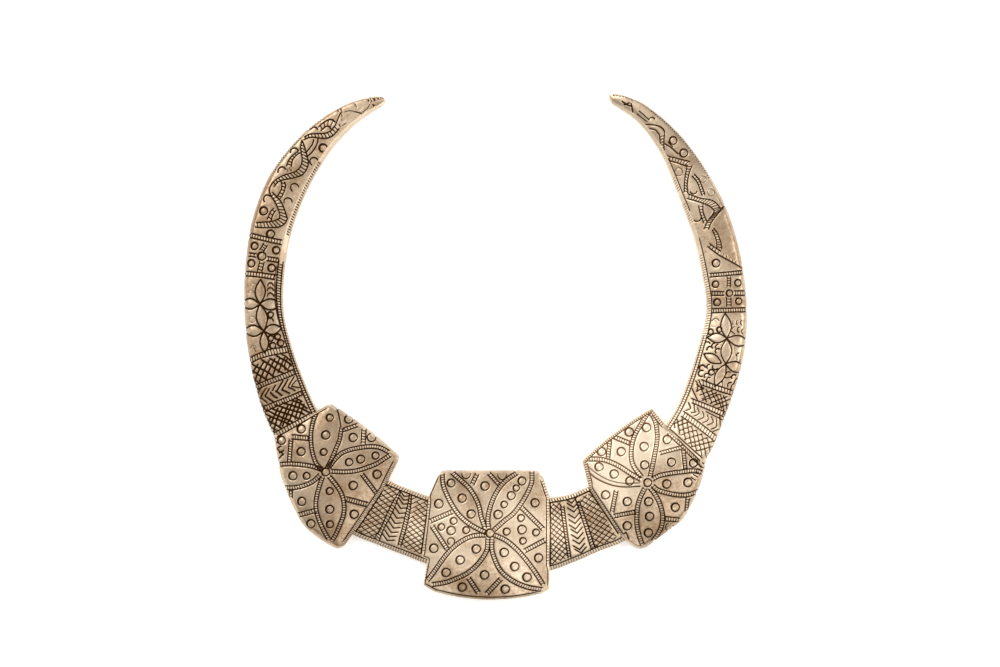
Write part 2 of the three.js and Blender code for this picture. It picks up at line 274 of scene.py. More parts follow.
def make_band(
    name, table, level, far_run, pitch, hand,
    ticked=EVERY_ANGLE, creased=EVERY_ANGLE, short_ticked=NOWHERE, foot_shaded=NOWHERE,
):
    """A closed band: leaning wall, face, second wall if it has one, and flat back.

    Pitch is the spacing of the ticks on its walls, and hand is how much heavier the smith's
    hand cut them, on each side. The last four say at which angles there are ticks, a line
    along the crease, ticks that stop short of it, and a dark line of painted shade along the foot.
    """
    first, last = table[0][0], table[-1][0]
    middle = table[len(table) // 2]
    face = even_shares(level, middle[2] - middle[1], middle[3])
    lean, rise = wall_rows()
    ends = len(lean) if far_run else 0
    far_lean, far_rise = lean[::-1][:ends], rise[::-1][:ends]
    # for each row: share passed of the near wall, of the face and of the far wall
    near_part = np.concatenate([lean, np.ones(len(face) + ends), BACK_SHARES])
    face_part = np.concatenate([lean * 0, face, far_lean * 0 + 1, BACK_SHARES])
    far_part = np.concatenate([lean * 0, face * 0, 1 - far_lean, BACK_SHARES])
    far_rise = far_rise * CREASE_LEVEL
    height_part = np.concatenate([rise * CREASE_LEVEL, level(face), far_rise, BACK_SHARES * 0])
    near_wall = np.concatenate([lean * 0 + 1, np.zeros(len(face) + ends + len(BACK_SHARES))])
    far_wall = np.concatenate([lean * 0, face * 0, far_lean * 0 + 1, BACK_SHARES * 0])
    columns = int(math.radians(last - first) * middle[2] / MESH_STEP)
    angles = np.linspace(first, last, columns + 1)
    inner, outer, height, run = (read_column(table, item, angles) for item in (1, 2, 3, 4))
    step = math.radians(last - first) / columns
    near_tick = tick_gap(np.cumsum(inner) * step, pitch)
    far_tick = tick_gap(np.cumsum(outer) * step, pitch)
    no_tick = outside(angles, ticked)
    stops_short = FAR - outside(angles, short_ticked)
    no_crease = outside(angles, creased)
    no_foot_shade = outside(angles, foot_shaded)

    def place(column, row):
        """Bends the grid round the neck, and measures how near its marks are."""
        column, row = column.astype(int), row.astype(int)
        width = (outer - inner)[column]
        near = np.minimum(run[column] / width, MOST_WALL)
        far = far_run / width
        across = near * near_part[row] + (1 - near - far) * face_part[row] + far * far_part[row]
        radius = inner[column] + width * across
        turn = np.radians(angles[column])
        z = BAND_LIFT + height[column] * height_part[row]
        spots = np.stack([radius * np.cos(turn), radius * np.sin(turn), z], 1)
        tick = np.where(far_wall[row] > 0, far_tick[column], near_tick[column] - hand)
        tick = tick + no_tick[column]
        high = height_part[row] > SHORT_TICK * CREASE_LEVEL
        tick = tick + np.where(high, stops_short[column], 0)
        inside = (across - near) * width
        crease = np.abs(inside - CREASE_AT) - CREASE_LINE / 2 - hand + no_crease[column]
        if far_run:
            far_inside = (1 - far - across) * width
            far_crease = np.abs(far_inside - CREASE_AT) - CREASE_LINE / 2
            crease = np.minimum(crease, far_crease)
        # the foot's line is cut and filled dark as painted shade at the foot of the wall
        foot = np.abs(across * width - FOOT_SHADE_AT) - FOOT_SHADE_LINE / 2 - hand + no_foot_shade[column]
        crease = np.minimum(crease, foot)
        return spots, near_wall[row] + far_wall[row], tick, crease

    return finish_grid(lay_grid(columns, len(near_part) - 1, place), name)


# %% [markdown]
# ## The plaques
# A plaque is a shallow pillow of sheet. Its outline is walked corner by corner: some sides
# end in a crease above a leaning wall, and others roll over softly. The fine grid is laid
# on it like a cloth on a tray: each square ring of the grid becomes a ring that runs
# parallel to the outline, and the outermost rings hang down as the wall.

# %% The plaques, corner by corner
PLAQUE_CREASE = 6.3  # height of a plaque's crease above the flat back
PLAQUE_RISE = 1.5  # how far its face swells above the crease
SWELL_POWER = 2.4  # the larger, the flatter the middle of the plaque

# The crown, then the corners anticlockwise: x, y, the corner's radius, and for the side that
# runs on from it: how far it bows out, how far its wall leans in, and 1 or 0 for whether it
# rolls over softly, whether its wall has ticks, and whether its crease is drawn with a line.
LEFT_PLAQUE = [
    (-67.8, -50.2),
    (-65.6, -22.2, 2.4, 0.0, 1.0, 0, 0, 1),
    (-88.6, -35.2, 1.5, 0.0, 2.6, 1, 0, 0),
    (-85.6, -52.0, 9.0, 0.3, 3.0, 1, 0, 0),
    (-77.0, -71.4, 16.0, 0.2, 3.0, 1, 0, 0),
    (-61.8, -81.8, 4.4, 0.0, 1.6, 0, 1, 1),
    (-44.0, -56.0, 0.0, 0.0, 1.8, 0, 1, 1),
    (-37.7, -43.6, 2.4, 0.8, 1.6, 1, 0, 0),
]
CENTRE_PLAQUE = [
    (-2.0, -74.2),
    (-21.9, -49.1, 3.4, 0.0, 0.4, 0, 0, 1),
    (-26.6, -59.6, 0.0, 0.0, 1.3, 0, 1, 1),
    (-29.4, -83.3, 0.0, 0.0, 0.8, 0, 0, 1),
    (-26.8, -84.4, 0.0, 0.0, 0.8, 0, 1, 1),
    (-28.8, -94.6, 0.8, 0.0, 1.2, 0, 0, 1),
    (-23.6, -97.6, 3.0, 2.5, 1.2, 0, 0, 1),
    (18.0, -98.4, 4.0, 0.0, 0.9, 0, 0, 0),
    (21.8, -96.2, 1.5, 0.0, 0.8, 0, 0, 1),
    (21.8, -87.6, 0.0, 0.0, 1.4, 0, 1, 1),
    (21.8, -59.4, 0.0, 0.0, 1.5, 0, 1, 1),
    (18.4, -49.1, 4.4, 0.0, 0.9, 1, 0, 0),
]
RIGHT_PLAQUE = [
    (61.0, -54.0),
    (62.6, -24.0, 1.0, 1.0, 1.1, 0, 1, 1),
    (34.6, -45.2, 1.0, 0.0, 1.9, 0, 1, 1),
    (37.2, -55.8, 0.0, 0.0, 1.3, 0, 1, 1),
    (50.8, -76.2, 0.0, 0.0, 1.5, 1, 0, 0),
    (58.1, -81.6, 5.0, 0.0, 3.0, 1, 0, 0),
    (76.3, -68.0, 14.0, 0.9, 3.0, 1, 0, 0),
    (84.6, -45.0, 1.5, 0.0, 1.0, 0, 0, 0),
    (68.8, -31.8, 0.0, 0.0, 1.8, 0, 1, 1),
]
OUTLINE_STEP = 0.1  # spacing of the points along an outline before the grid is laid
QUARTER_TURN = 1.6  # about the length of a quarter of a circle whose radius is 1


def walk_outline(corners):
    """Points round a plaque, and the edge (run, soft, ticks, crease) at each of them."""
    turns = []
    for i, (x, y, round_radius, *_) in enumerate(corners):
        at = np.array([x, y])
        back = np.array(corners[i - 1][:2]) - at
        ahead = np.array(corners[(i + 1) % len(corners)][:2]) - at
        back, ahead = back / np.linalg.norm(back), ahead / np.linalg.norm(ahead)
        reach = round_radius / math.tan(math.acos(back @ ahead) / 2)
        turns.append((at + back * reach, at, at + ahead * reach))
    points, edges = [], []
    for i, (_, _, round_radius, bow, *edge) in enumerate(corners):
        start, at, end = turns[i]
        before, edge = np.array(corners[i - 1][4:], float), np.array(edge, float)
        for t in np.linspace(0, 1, 1 + int(round_radius * QUARTER_TURN / OUTLINE_STEP))[:-1]:
            points.append(start * (1 - t) ** 2 + at * 2 * t * (1 - t) + end * t * t)
            edges.append(mix(before, edge, t))
        side = turns[(i + 1) % len(corners)][0] - end
        out = np.array([side[1], -side[0]]) / np.linalg.norm(side)
        for t in np.linspace(0, 1, 1 + int(np.linalg.norm(side) / OUTLINE_STEP))[:-1]:
            points.append(end + side * t + out * 4 * bow * t * (1 - t))
            edges.append(edge)
    return np.array(points), np.array(edges)


def blur_loop(values, reach):
    """Averages a closed run of values over reach millimetres to each side."""
    count = max(int(reach / OUTLINE_STEP), 1)
    total = sum(np.roll(values, shift, axis=0) for shift in range(-count, count + 1))
    return total / (2 * count + 1)


# %% Making a plaque
EDGE_BLUR = 1.2  # how far one kind of edge takes to become the next
TURN_BLUR = 0.9  # how far the wall's direction takes to turn a corner
BACK_LIP = 0.6  # width of the ring of faces round the flat back


def make_plaque(name, rows, pitch, hand=0.0):
    """A closed pillow over the outline, with its wall and a flat back.

    Pitch and hand are those of the ticks on its wall, as for a band.
    """
    crown = np.array(rows[0])
    outline, edges = walk_outline(rows[1:])
    edges = blur_loop(blur_loop(edges, EDGE_BLUR), EDGE_BLUR)
    chord = np.roll(outline, -1, axis=0) - np.roll(outline, 1, axis=0)
    inward = blur_loop(np.stack([-chord[:, 1], chord[:, 0]], 1), TURN_BLUR)
    inward = inward / np.linalg.norm(inward, axis=1)[:, None]
    steps = np.linalg.norm(np.roll(outline, -1, axis=0) - outline, axis=1)
    perimeter = steps.sum()
    at = np.concatenate([[0], np.cumsum(steps)])
    columns = [np.append(values, values[0]) for values in (*outline.T, *inward.T, *edges.T)]

    # rings of the face: each square ring has 8 faces more than the one inside it
    half = int(perimeter / MESH_STEP / 8)
    lean, rise = wall_rows()
    lean, rise = np.append(lean, 1)[::-1], np.append(rise, 1)[::-1]
    skirt = len(lean) - 1  # rings of the wall, and one more round the back
    reach_out = half + skirt + 1
    pitch = perimeter / round(perimeter / pitch)

    def place(column, row):
        """Pulls each square ring of the grid to a ring round the crown."""
        u, v = column - reach_out, row - reach_out
        ring = np.maximum(np.abs(u), np.abs(v))
        far = np.maximum(ring, 1)
        turn = np.select(
            [u == ring, v == ring, u == -ring],
            [1 + v / far, 3 - u / far, 5 - v / far],
            7 + u / far,
        )
        along = (turn % 8) / 8 * perimeter
        x, y, inward_x, inward_y, run, soft, ticked, creased = (
            np.interp(along, at, values) for values in columns
        )
        down = np.clip(ring - half, 0, skirt).astype(int)
        roll = down / skirt * math.pi / 2
        up = mix(rise[down], np.cos(roll), soft)
        inset = run * mix(lean[down], 1 - np.sin(roll), soft) + BACK_LIP * (ring == reach_out)
        foot = np.stack([x + inward_x * inset, y + inward_y * inset], 1)
        share = np.clip(ring / half, 0, 1)
        plan = crown + (foot - crown) * share[:, None]
        height = PLAQUE_CREASE * up + PLAQUE_RISE * (1 - share**SWELL_POWER)
        inward_run = (1 - share) * np.linalg.norm(foot - crown, axis=1)
        inside = np.where(ring > half, inset - run, inward_run)
        on_wall = np.where((ring > half) & (soft < 0.5), 1.0, 0.0)
        tick = tick_gap(along, pitch) - hand + (1 - ticked) * FAR
        crease = np.abs(inside - CREASE_AT) - CREASE_LINE / 2 + (1 - creased) * FAR
        return np.column_stack([plan, height]), on_wall, tick, crease

    return finish_grid(lay_grid(2 * reach_out, 2 * reach_out, place), name)


# %% [markdown]
# ## The seven sheets
# The ring is one rigid piece, so all seven sheets ride on the one body, and together they
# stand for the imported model's solid. They meet under the ladder-shaped borders.

# %% Make the sheets
LINK_FAR_RUN = 2.1  # lean of a link's wall that is away from the neck
# the angles at which the arms' walls are ticked, their crease has a line, their ticks stop
# short of it, and their foot has a dark line of painted shade
RIGHT_WALL = (
    [(-60, 24), (32.5, 37.2), (40.5, 43.3)],
    [(-60, 28), (35, 47.5)],
    [(31, 60)],
    [(-60, 3)],
)
LEFT_WALL = (
    [(133.5, 151.5), (158.5, 220)],
    [(158, 220)],
    [(120, 158.5)],
    [(158, 220)],
)
pieces = {
    "right_arm": make_band("right_arm", RIGHT_ARM, arm_level, 0, 0.95, -0.03, *RIGHT_WALL),
    "left_arm": make_band("left_arm", LEFT_ARM, arm_level, 0, 1.0, 0.07, *LEFT_WALL),
    "left_link": make_band("left_link", LEFT_LINK, link_level, LINK_FAR_RUN, 1.08, 0.03),
    "right_link": make_band("right_link", RIGHT_LINK, link_level, LINK_FAR_RUN, 1.08, 0.03),
    "left_plaque": make_plaque("left_plaque", LEFT_PLAQUE, 0.75),
    "centre_plaque": make_plaque("centre_plaque", CENTRE_PLAQUE, 1.15),
    "right_plaque": make_plaque("right_plaque", RIGHT_PLAQUE, 0.94, 0.04),
}

# %% [markdown]
# ## The punches
# The smith drew with two small tools, a straight liner and a ring punch. The liner walked
# along a curve gives a line, two lines with short ticks between them give the ladder that
# edges most petals and fields, slanted lines fill the netted fields, and the ring punch gives
# the dots. So a mark is charted as a few points, and these functions walk the punches along
# them. Each stroke ends as short straight cuts, a row of numbers each: from x, y to x, y, and
# half a width.

# %% The liner, the ladder, the ring punch and the net
LINE_WIDTH = 0.44
LEAF_LINE = 1.15  # a petal's line is this many times as wide
TICK_PITCH = 0.96  # spacing of the ticks of a ladder
NET_WIDTH = 0.28  # width of the lines of a net
NET_LINES = 20  # lines to each side of a net's middle, more than the fields have room for
RING_SHADE_WIDTH = 0.3  # how much wider, and so darker, a ring's line is cut on its shaded side, as painted shade
RING_SHADE_SIDE = math.radians(150)  # the side whose groove lies in shade, toward the upper left
RING_CUTS = 24  # short cuts round a ring
ARC_TURN = 26  # degrees that an arc turns in each of its cuts, with a few cuts to spare
ARC_POINTS = 4  # the fewest points of an arc
LEAF_POINTS = 15  # along each side of a petal
CHORD = 0.8  # length of the chords that stand for a curve
ENDLESS = 1e3  # longer than any line
cuts = []
beads = []  # the rows of raised cells between the rungs, which are rubbed bright


def walk(points):
    """A smooth curve through the points, as many short chords."""
    points = np.array(points, float)
    ends = [2 * points[0] - points[1], *points, 2 * points[-1] - points[-2]]
    spots = [points[0]]
    for a, b, c, d in zip(ends, ends[1:], ends[2:], ends[3:]):
        count = max(int(np.linalg.norm(c - b) / CHORD), 1)
        for t in np.arange(1, count + 1) / count:
            bend = 2 * b + (c - a) * t + (2 * a - 5 * b + 4 * c - d) * t**2
            spots.append((bend + (3 * b - a - 3 * c + d) * t**3) / 2)
    return np.array(spots)


def cut_line(points, width=LINE_WIDTH):
    """Straight cuts from point to point."""
    for a, b in zip(points, points[1:]):
        cuts.append((*a, *b, width / 2))


def cut_curve(width, points):
    """A smooth line through the points."""
    cut_line(walk(points), width)


def along_curve(curve):
    """How far along a curve each of its points lies."""
    return np.append(0, np.linalg.norm(np.diff(curve, axis=0), axis=1).cumsum())


def cut_rungs(pitch, first, second):
    """Two lines, and ticks between them, pitch apart."""
    first, second = walk(first), walk(second)
    cut_line(first)
    cut_line(second)
    lengths = [along_curve(first), along_curve(second)]
    count = max(int((lengths[0][-1] + lengths[1][-1]) / 2 / pitch), 1)
    middles = []
    for share in (np.arange(count) + 0.5) / count:
        ends = np.array([
            [np.interp(share * length[-1], length, curve[:, i]) for i in (0, 1)]
            for length, curve in zip(lengths, (first, second))
        ])
        cut_line(ends, TICK_WIDTH)
        middles.append(ends.mean(axis=0))
    for a, b in zip(middles, middles[1:]):
        beads.append((*a, *b, np.linalg.norm(ends[1] - ends[0]) / 2))


def cut_ladder(width, points):
    """A ladder of even width along a curve."""
    curve = walk(points)
    chord = np.gradient(curve, axis=0)
    side = np.stack([-chord[:, 1], chord[:, 0]], 1) / np.linalg.norm(chord, axis=1)[:, None]
    cut_rungs(TICK_PITCH, curve - side * width / 2, curve + side * width / 2)


def cut_arc(x, y, radius, first=0, last=360, width=LINE_WIDTH):
    """Part of a circle, from one angle to another."""
    turn = np.radians(np.linspace(first, last, ARC_POINTS + int((last - first) / ARC_TURN)))
    cut_line(np.stack([x + radius * np.cos(turn), y + radius * np.sin(turn)], 1), width)


def cut_ring(x, y, radius):
    """A whole ring. Its line is cut wider and so darker toward the upper left, as painted shade."""
    turn = np.radians(np.linspace(0, 360, RING_CUTS + 1))
    shade_width = RING_SHADE_WIDTH * np.maximum(np.cos(turn - RING_SHADE_SIDE), 0)
    reach = radius - shade_width / 2
    spots = np.stack([x + reach * np.cos(turn), y + reach * np.sin(turn)], 1)
    for a, b, extra in zip(spots, spots[1:], shade_width):
        cuts.append((*a, *b, (LINE_WIDTH + extra) / 2))


def cut_leaf(base, tip, width):
    """A petal: two lines that bow apart between its base and its tip."""
    base, tip = np.array(base), np.array(tip)
    side = np.array([base[1] - tip[1], tip[0] - base[0]]) / np.linalg.norm(tip - base)
    t = np.linspace(0, 1, LEAF_POINTS)[:, None]
    for way in (-1, 1):
        bow = side * way * width / 2 * np.sin(math.pi * t)
        cut_line(mix(base, tip, t) + bow, LINE_WIDTH * LEAF_LINE)


def clip_line(point, way, corners):
    """The stretch of a line that lies inside a four-cornered field, or None."""
    low, high = -ENDLESS, ENDLESS
    centre = np.mean(corners, axis=0)
    for a, b in zip(corners, np.roll(corners, -1, axis=0)):
        normal = np.array([a[1] - b[1], b[0] - a[0]])
        normal = normal * np.sign(normal @ (centre - a))
        start, slope = normal @ (point - a), normal @ way
        if slope > 0:
            low = max(low, -start / slope)
        else:
            high = min(high, -start / slope)
    return (point + way * low, point + way * high) if high > low else None


def cut_net(pitch, first_slant, second_slant, corners):
    """Two families of parallel lines that fill a field, or one where the slants are alike."""
    corners = np.array(corners)
    centre = corners.mean(axis=0)
    for slant in sorted({first_slant, second_slant}):
        way = np.array([math.cos(math.radians(slant)), math.sin(math.radians(slant))])
        across = np.array([-way[1], way[0]])
        for shift in np.arange(-NET_LINES, NET_LINES + 1) * pitch:
            ends = clip_line(centre + across * shift, way, corners)
            if ends:
                cut_line(ends, NET_WIDTH)


def cut_heads(one_arm, other_arm, tips):
    """Arrowheads, one at each tip."""
    for tip in np.array(tips):
        cut_line([tip + one_arm, tip, tip + other_arm])


# %% [markdown]
# ## The chart of marks
# Each sheet has its own chart, in millimetres of the plan. Its points were chosen, and a
# program turned them into millimetres for these tables.
# Ladders and lines are a width and the points of a curve, and rungs are a pitch and the two
# curves that they join. Leaves are a base, a tip and a width. Rings are x, y and a radius,
# and arcs add where they start and end, in degrees, and some a width. Hatches are a pitch,
# two slants and the field's corners. Heads are the two arms of an arrowhead, and its tips.
# Stains are x, y, a radius and a strength: above zero they darken the silver, partly as tarnish
# and partly as painted shade, and below zero they lighten it, partly where the silver is rubbed
# bright and partly as a painted highlight. The weight is how heavy the smith's hand was on
# that sheet.

# %% Marks of the left arm
LEFT_ARM_MARKS = {
    "weight": 1.2,
    "ladders": [
        (1.7, [(-91.3, 41), (-92.8, 38.5)]),
        (1.6, [(-90.5, 35.4), (-85.7, 34.6)]),
        (1.8, [(-92.7, 34), (-93.6, 30.3)]),
        (1.3, [(-97.9, 37), (-95.1, 36.6)]),
    ],
    "lines": [
        (0.5, [(-75, 75.9), (-73.3, 77.2), (-71.7, 79.3), (-70.7, 81.5), (-70.5, 83.1)]),
        (0.5, [(-75.3, 77.5), (-73.9, 79.2), (-72.6, 81.1), (-72.2, 82.7)]),
        (0.4, [(-88.6, 65.5), (-89.6, 63.7), (-89.8, 62.3), (-89.2, 60.5)]),
        (0.4, [(-63.6, 88.5), (-62.6, 90.9), (-61.6, 93.3), (-61, 93.9)]),
        (0.2, [(-61.2, 93.1), (-60.8, 91.9)]),
        (0.2, [(-61.1, 91.1), (-60.9, 90.3)]),
        (0.3, [(-62.1, 89), (-61.7, 88)]),
        (0.2, [(-60.8, 88.4), (-59.4, 89.4)]),
        (0.2, [(-82.8, 71.1), (-82.3, 70)]),
        (0.2, [(-81.8, 71.7), (-81.4, 70.5)]),
        (0.2, [(-80.8, 71.5), (-81, 70.3)]),
        (0.2, [(-59.8, 93.9), (-57.8, 94.4), (-55.8, 94)]),
        (0.3, [(-55.8, 94), (-53.2, 93.2)]),
        (0.2, [(-52.6, 93.7), (-51, 95.1), (-50, 96.7), (-49.5, 97.9)]),
        (0.2, [(-55.8, 97.1), (-55.2, 95.9), (-55.4, 95.1)]),
        (0.4, [(-48.7, 96.8), (-48.1, 96.2)]),
        (0.4, [(-50.9, 99.7), (-50.3, 98.3)]),
        (0.2, [(-49.7, 99.9), (-49.1, 97.9)]),
        (0.5, [(-48.7, 100.1), (-47.9, 98.7)]),
        (0.3, [(-46.9, 100.3), (-46.5, 99.3)]),
        (0.3, [(-61.7, 95.7), (-61.2, 94.5)]),
        (0.3, [(-62.8, 95.1), (-62.4, 94.1)]),
        (0.2, [(-86.9, 32.4), (-87.4, 29.3), (-87.6, 26.1)]),
        (0.3, [(-87.6, 26.1), (-87.6, 22.1), (-87.5, 18.1), (-87, 14.9), (-86.4, 11.8)]),
        (0.2, [(-86.4, 11.8), (-85.3, 7.8)]),
        (0.2, [(-66.5, 79.1), (-68.5, 76.5), (-70.4, 73.9)]),
        (0.2, [(-96, 0.2), (-95, -1.8)]),
        (0.6, [(-97.8, -5.9), (-94.6, -7.8), (-91.1, -9.4), (-87.5, -11.9)]),
        (0.6, [(-92.7, -4.9), (-89.5, -6.9), (-86.3, -9.1), (-83.9, -10.3)]),
        (0.6, [(-89.5, -4.3), (-87.1, -5.7), (-84.3, -7.3), (-81.9, -9.3)]),
        (0.6, [(-86.9, -3.1), (-85.1, -4.3), (-82.7, -5.5), (-81.1, -7.1)]),
        (0.5, [(-84.7, -2.6), (-82.7, -3.9), (-81.1, -5.5)]),
        (0.6, [(-97.1, -8.8), (-93.4, -11.3), (-90.3, -12.9)]),
        (0.5, [(-96.3, -11.8), (-92.9, -15.3)]),
        (0.6, [(-94.2, -6.7), (-95.8, -8.9), (-96.8, -10.9)]),
        (0.6, [(-91.9, -5.7), (-93.8, -8.9), (-95.9, -14)]),
        (0.6, [(-89.7, -5.1), (-91.7, -8.9), (-93.6, -13.3)]),
        (0.6, [(-87.5, -4.5), (-89.3, -8.1), (-91.1, -12.1)]),
        (0.6, [(-85.5, -4.1), (-87.1, -7.7), (-88.3, -11.1)]),
        (0.6, [(-83.7, -4.1), (-85.1, -7.3), (-86.1, -9.9)]),
        (0.5, [(-82.7, -4.5), (-83.6, -6.9), (-83.5, -8.9)]),
        (0.5, [(-81.3, -6.3), (-82, -8.1)]),
        (0.6, [(-92.4, -26), (-88.7, -27.7), (-85.1, -29.1), (-81.9, -30.4)]),
        (0.6, [(-92.7, -24), (-87.1, -26.8), (-82.7, -28.6), (-80.3, -29.8)]),
        (0.6, [(-89.1, -24.2), (-84.7, -25.8), (-80.3, -27.2), (-77.9, -28.4)]),
        (0.6, [(-87.1, -22.8), (-82.3, -24.5), (-77.5, -25.8), (-75.9, -26.6)]),
        (0.6, [(-84.3, -22), (-79.5, -23.4), (-76.3, -24.5), (-74, -25.8)]),
        (0.6, [(-80.7, -21), (-77.5, -22.2), (-74.8, -24.2)]),
        (0.5, [(-79.1, -20.1), (-76.7, -21.4)]),
        (0.6, [(-91.3, -28.7), (-87.5, -30.6), (-85.1, -32)]),
        (0.5, [(-90.1, -31.3), (-87.1, -32.8)]),
        (0.6, [(-89.1, -27.6), (-91, -29.8)]),
        (0.6, [(-86.3, -24.2), (-88.3, -28.4), (-90, -32)]),
        (0.6, [(-84.3, -23.6), (-86.3, -27.6), (-88.4, -34.1)]),
        (0.6, [(-82.3, -23.2), (-83.7, -26.4), (-85.7, -31.6)]),
        (0.6, [(-80.5, -22), (-81.9, -25.2), (-83.5, -28.8), (-84.5, -31.2)]),
        (0.6, [(-78.7, -21), (-79.9, -24.4), (-81.5, -28.4), (-82.7, -30.4)]),
        (0.6, [(-77.3, -21.6), (-78.5, -25.2), (-79.5, -28.4)]),
        (0.6, [(-75.9, -22.6), (-76.9, -25.4), (-77.7, -27.6)]),
        (0.5, [(-91.1, -16.3), (-92.3, -18.1), (-93.2, -19.9), (-92.1, -20.8), (-90.7, -22)]),
        (0.5, [(-89.7, -16.3), (-90.7, -18.1), (-91.5, -19.3), (-89.9, -20.4), (-88.1, -21.6)]),
        (0.5, [(-87.3, -15.1), (-88.5, -17.1)]),
        (0.6, [(-89.2, -17.9), (-87.9, -19.3), (-86.5, -20.1)]),
        (0.6, [(-84.3, -13.3), (-85.5, -15.3), (-86.5, -16.9)]),
        (0.6, [(-87.1, -17.3), (-85.7, -18.3), (-84.7, -19.1)]),
        (0.6, [(-82.4, -12.7), (-83.5, -14.9), (-84.7, -16.8), (-83.3, -17.3), (-81.7, -18.2)]),
        (0.5, [(-79.9, -11.7), (-80.9, -13.3), (-82.1, -15.8), (-80.7, -16.3), (-79.5, -17.1)]),
        (0.4, [(-79.1, -13.1), (-80.9, -15.4), (-79.5, -15.6), (-77.9, -15.9)]),
        (0.4, [(-93, -16), (-94.9, -18.8)]),
        (0.5, [(-93.9, -21.3), (-92, -23.5)]),
    ],
    "leaves": [
        ((-93.5, 17.3), (-93.2, 27.1), 4.1),
        ((-93.5, 17.3), (-101.4, 17.5), 4.2),
        ((-93.5, 17.3), (-85.1, 17.1), 4.4),
        ((-93.5, 17.3), (-91.9, 6.5), 4.4),
        ((-91.9, 6.5), (-100.2, 6.8), 4.4),
        ((-91.9, 6.5), (-84.9, 7.9), 4),
        ((-91.9, 6.5), (-91.5, -2.2), 3.4),
    ],
    "rings": [
        (-89.3, 45.2, 1.6), (-95.7, 40.4, 1.44), (-87.1, 38.8, 1.44), (-92.8, 36.4, 1.64),
        (-97, 33.5, 1.48), (-88.9, 31.7, 1.48), (-89.3, 13.1, 1.16), (-89.2, 3.7, 1.16),
        (-86.5, 4.4, 1.16), (-88.4, 0.8, 1.24), (-85.3, 1.9, 1.28), (-68.5, 79.5, 1.6),
        (-92.1, 54.4, 1.6),
    ],
    "arcs": [
        (-89.3, 24.7, 1.04, 0, 180), (-89.3, 22.7, 1.12, 0, 180), (-89.3, 20.5, 1.2, 0, 180),
        (-89.3, 10.6, 1.12, 0, 180), (-96.5, 11.1, 1.32, 20, 340, 0.1),
        (-96.1, -0.4, 1.12, 0, 180, 0.1), (-95.9, 24.5, 1.08, 0, 180, 0.1),
        (-97, 21.7, 1.04, 0, 180, 0.1), (-72.1, 86.3, 1.6, 20, 150), (-72.1, 74.1, 1.6, 10, 235),
        (-79.8, 63.7, 1.6, 10, 235), (-84.8, 70.3, 1.6, 25, 200), (-90.6, 59.1, 1.6, 45, 225),
        (-82.4, 58, 1.6, 0, 190), (-79.9, 77.9, 1.6, 20, 190),
    ],
    "rungs": [
        (1.08, [(-98, 45.7), (-91.1, 44), (-84.9, 42.8)], [(-98.4, 44), (-91.1, 42.3), (-85.1, 41)]),
        (1.08,
            [(-100, 30.4), (-92.7, 29.7), (-87.1, 28.9)],
            [(-100.1, 28.6), (-92.7, 27.9), (-87.7, 27.1)],
        ),
        (1.08,
            [(-98.2, -4.3), (-94.2, -2.5), (-90.5, -1), (-86.7, -0.2), (-83.1, 0.4)],
            [(-97.8, -6.6), (-94.2, -4.7), (-89.5, -3.3), (-85.5, -2.4), (-82.5, -1.8)],
        ),
        (1.04,
            [(-96, -15.1), (-89.5, -12.5), (-84.3, -10.5), (-80.1, -8.6)],
            [(-95.4, -17), (-89.5, -14.5), (-84.3, -12.6), (-79.1, -10.4)],
        ),
        (1.04,
            [(-93.3, -24), (-87.5, -21.6), (-81.9, -19.4), (-76.9, -17.2)],
            [(-92.6, -26.1), (-86.7, -23.4), (-81.5, -21.2), (-76.3, -18.6)],
        ),
        (1.16,
            [(-88.8, -34.4), (-83.9, -31.8), (-78.7, -29), (-72.4, -25.5)],
            [(-87.9, -36.2), (-82.7, -33.4), (-77.5, -30.4), (-72, -27)],
        ),
        (1.28,
            [
                (-89.2, 60.5), (-87.6, 58), (-86.4, 55.4), (-85.6, 52.8), (-85.8, 51.3), (-87.2, 50.7),
                (-89.1, 50.1), (-92.3, 49.9), (-94.9, 49.6),
            ],
            [
                (-88.5, 61.7), (-87.2, 60.3), (-85.5, 58.6), (-84.1, 55.8), (-83.1, 52.8), (-82.7, 51),
                (-83.4, 49.6), (-84.8, 48.5), (-86.4, 47.9), (-89.5, 47.7), (-92.7, 47.7),
                (-95.3, 47.9),
            ],
        ),
        (1.28,
            [
                (-76.9, 82.5), (-77.4, 79.9), (-77.1, 77.5), (-76.8, 75.5), (-77, 73.1), (-77.7, 71.7),
                (-79.3, 70.1), (-81.6, 69.3), (-84.4, 68.4), (-86.8, 67.1), (-88.6, 65.5),
            ],
            [
                (-76.6, 82.1), (-75.8, 79.9), (-75.3, 77.9), (-74.7, 75.9), (-74.3, 73.5),
                (-74.9, 71.1), (-76.5, 68.9), (-78.8, 67.9), (-81.6, 67.2), (-84.4, 66.7),
                (-86.4, 65.9), (-87.8, 64.1),
            ],
        ),
        (1.32,
            [(-75.9, 83.9), (-73.7, 85), (-70.5, 85.2), (-67.4, 85.4), (-65.4, 86.3), (-63.6, 88.5)],
            [
                (-76.1, 82.7), (-74.1, 83.6), (-71.7, 83.7), (-69.7, 83.4), (-67.7, 83.3),
                (-65.8, 83.7), (-63.8, 85.1), (-62.2, 87.1),
            ],
        ),
        (1.36,
            [(-70.2, 87.9), (-69, 89.1), (-67.4, 90.2), (-65.8, 90.9), (-64.6, 90.7), (-63.7, 89.9)],
            [(-69.2, 86.4), (-68.2, 87.4), (-67.4, 88), (-66.6, 88.3), (-65.8, 87.9), (-65.4, 87.1)],
        ),
        (1.2,
            [(-85.1, 66.3), (-84.8, 64.9), (-85, 63.1), (-86.2, 60.7), (-87, 59.9)],
            [(-83.8, 65.9), (-83.3, 64.5), (-83.8, 62.3), (-84.8, 60.1), (-85.4, 59.3)],
        ),
        (1.2,
            [(-78.1, 78.4), (-79.7, 77.2), (-81.3, 75.7), (-82.3, 74.1), (-82.9, 72.3)],
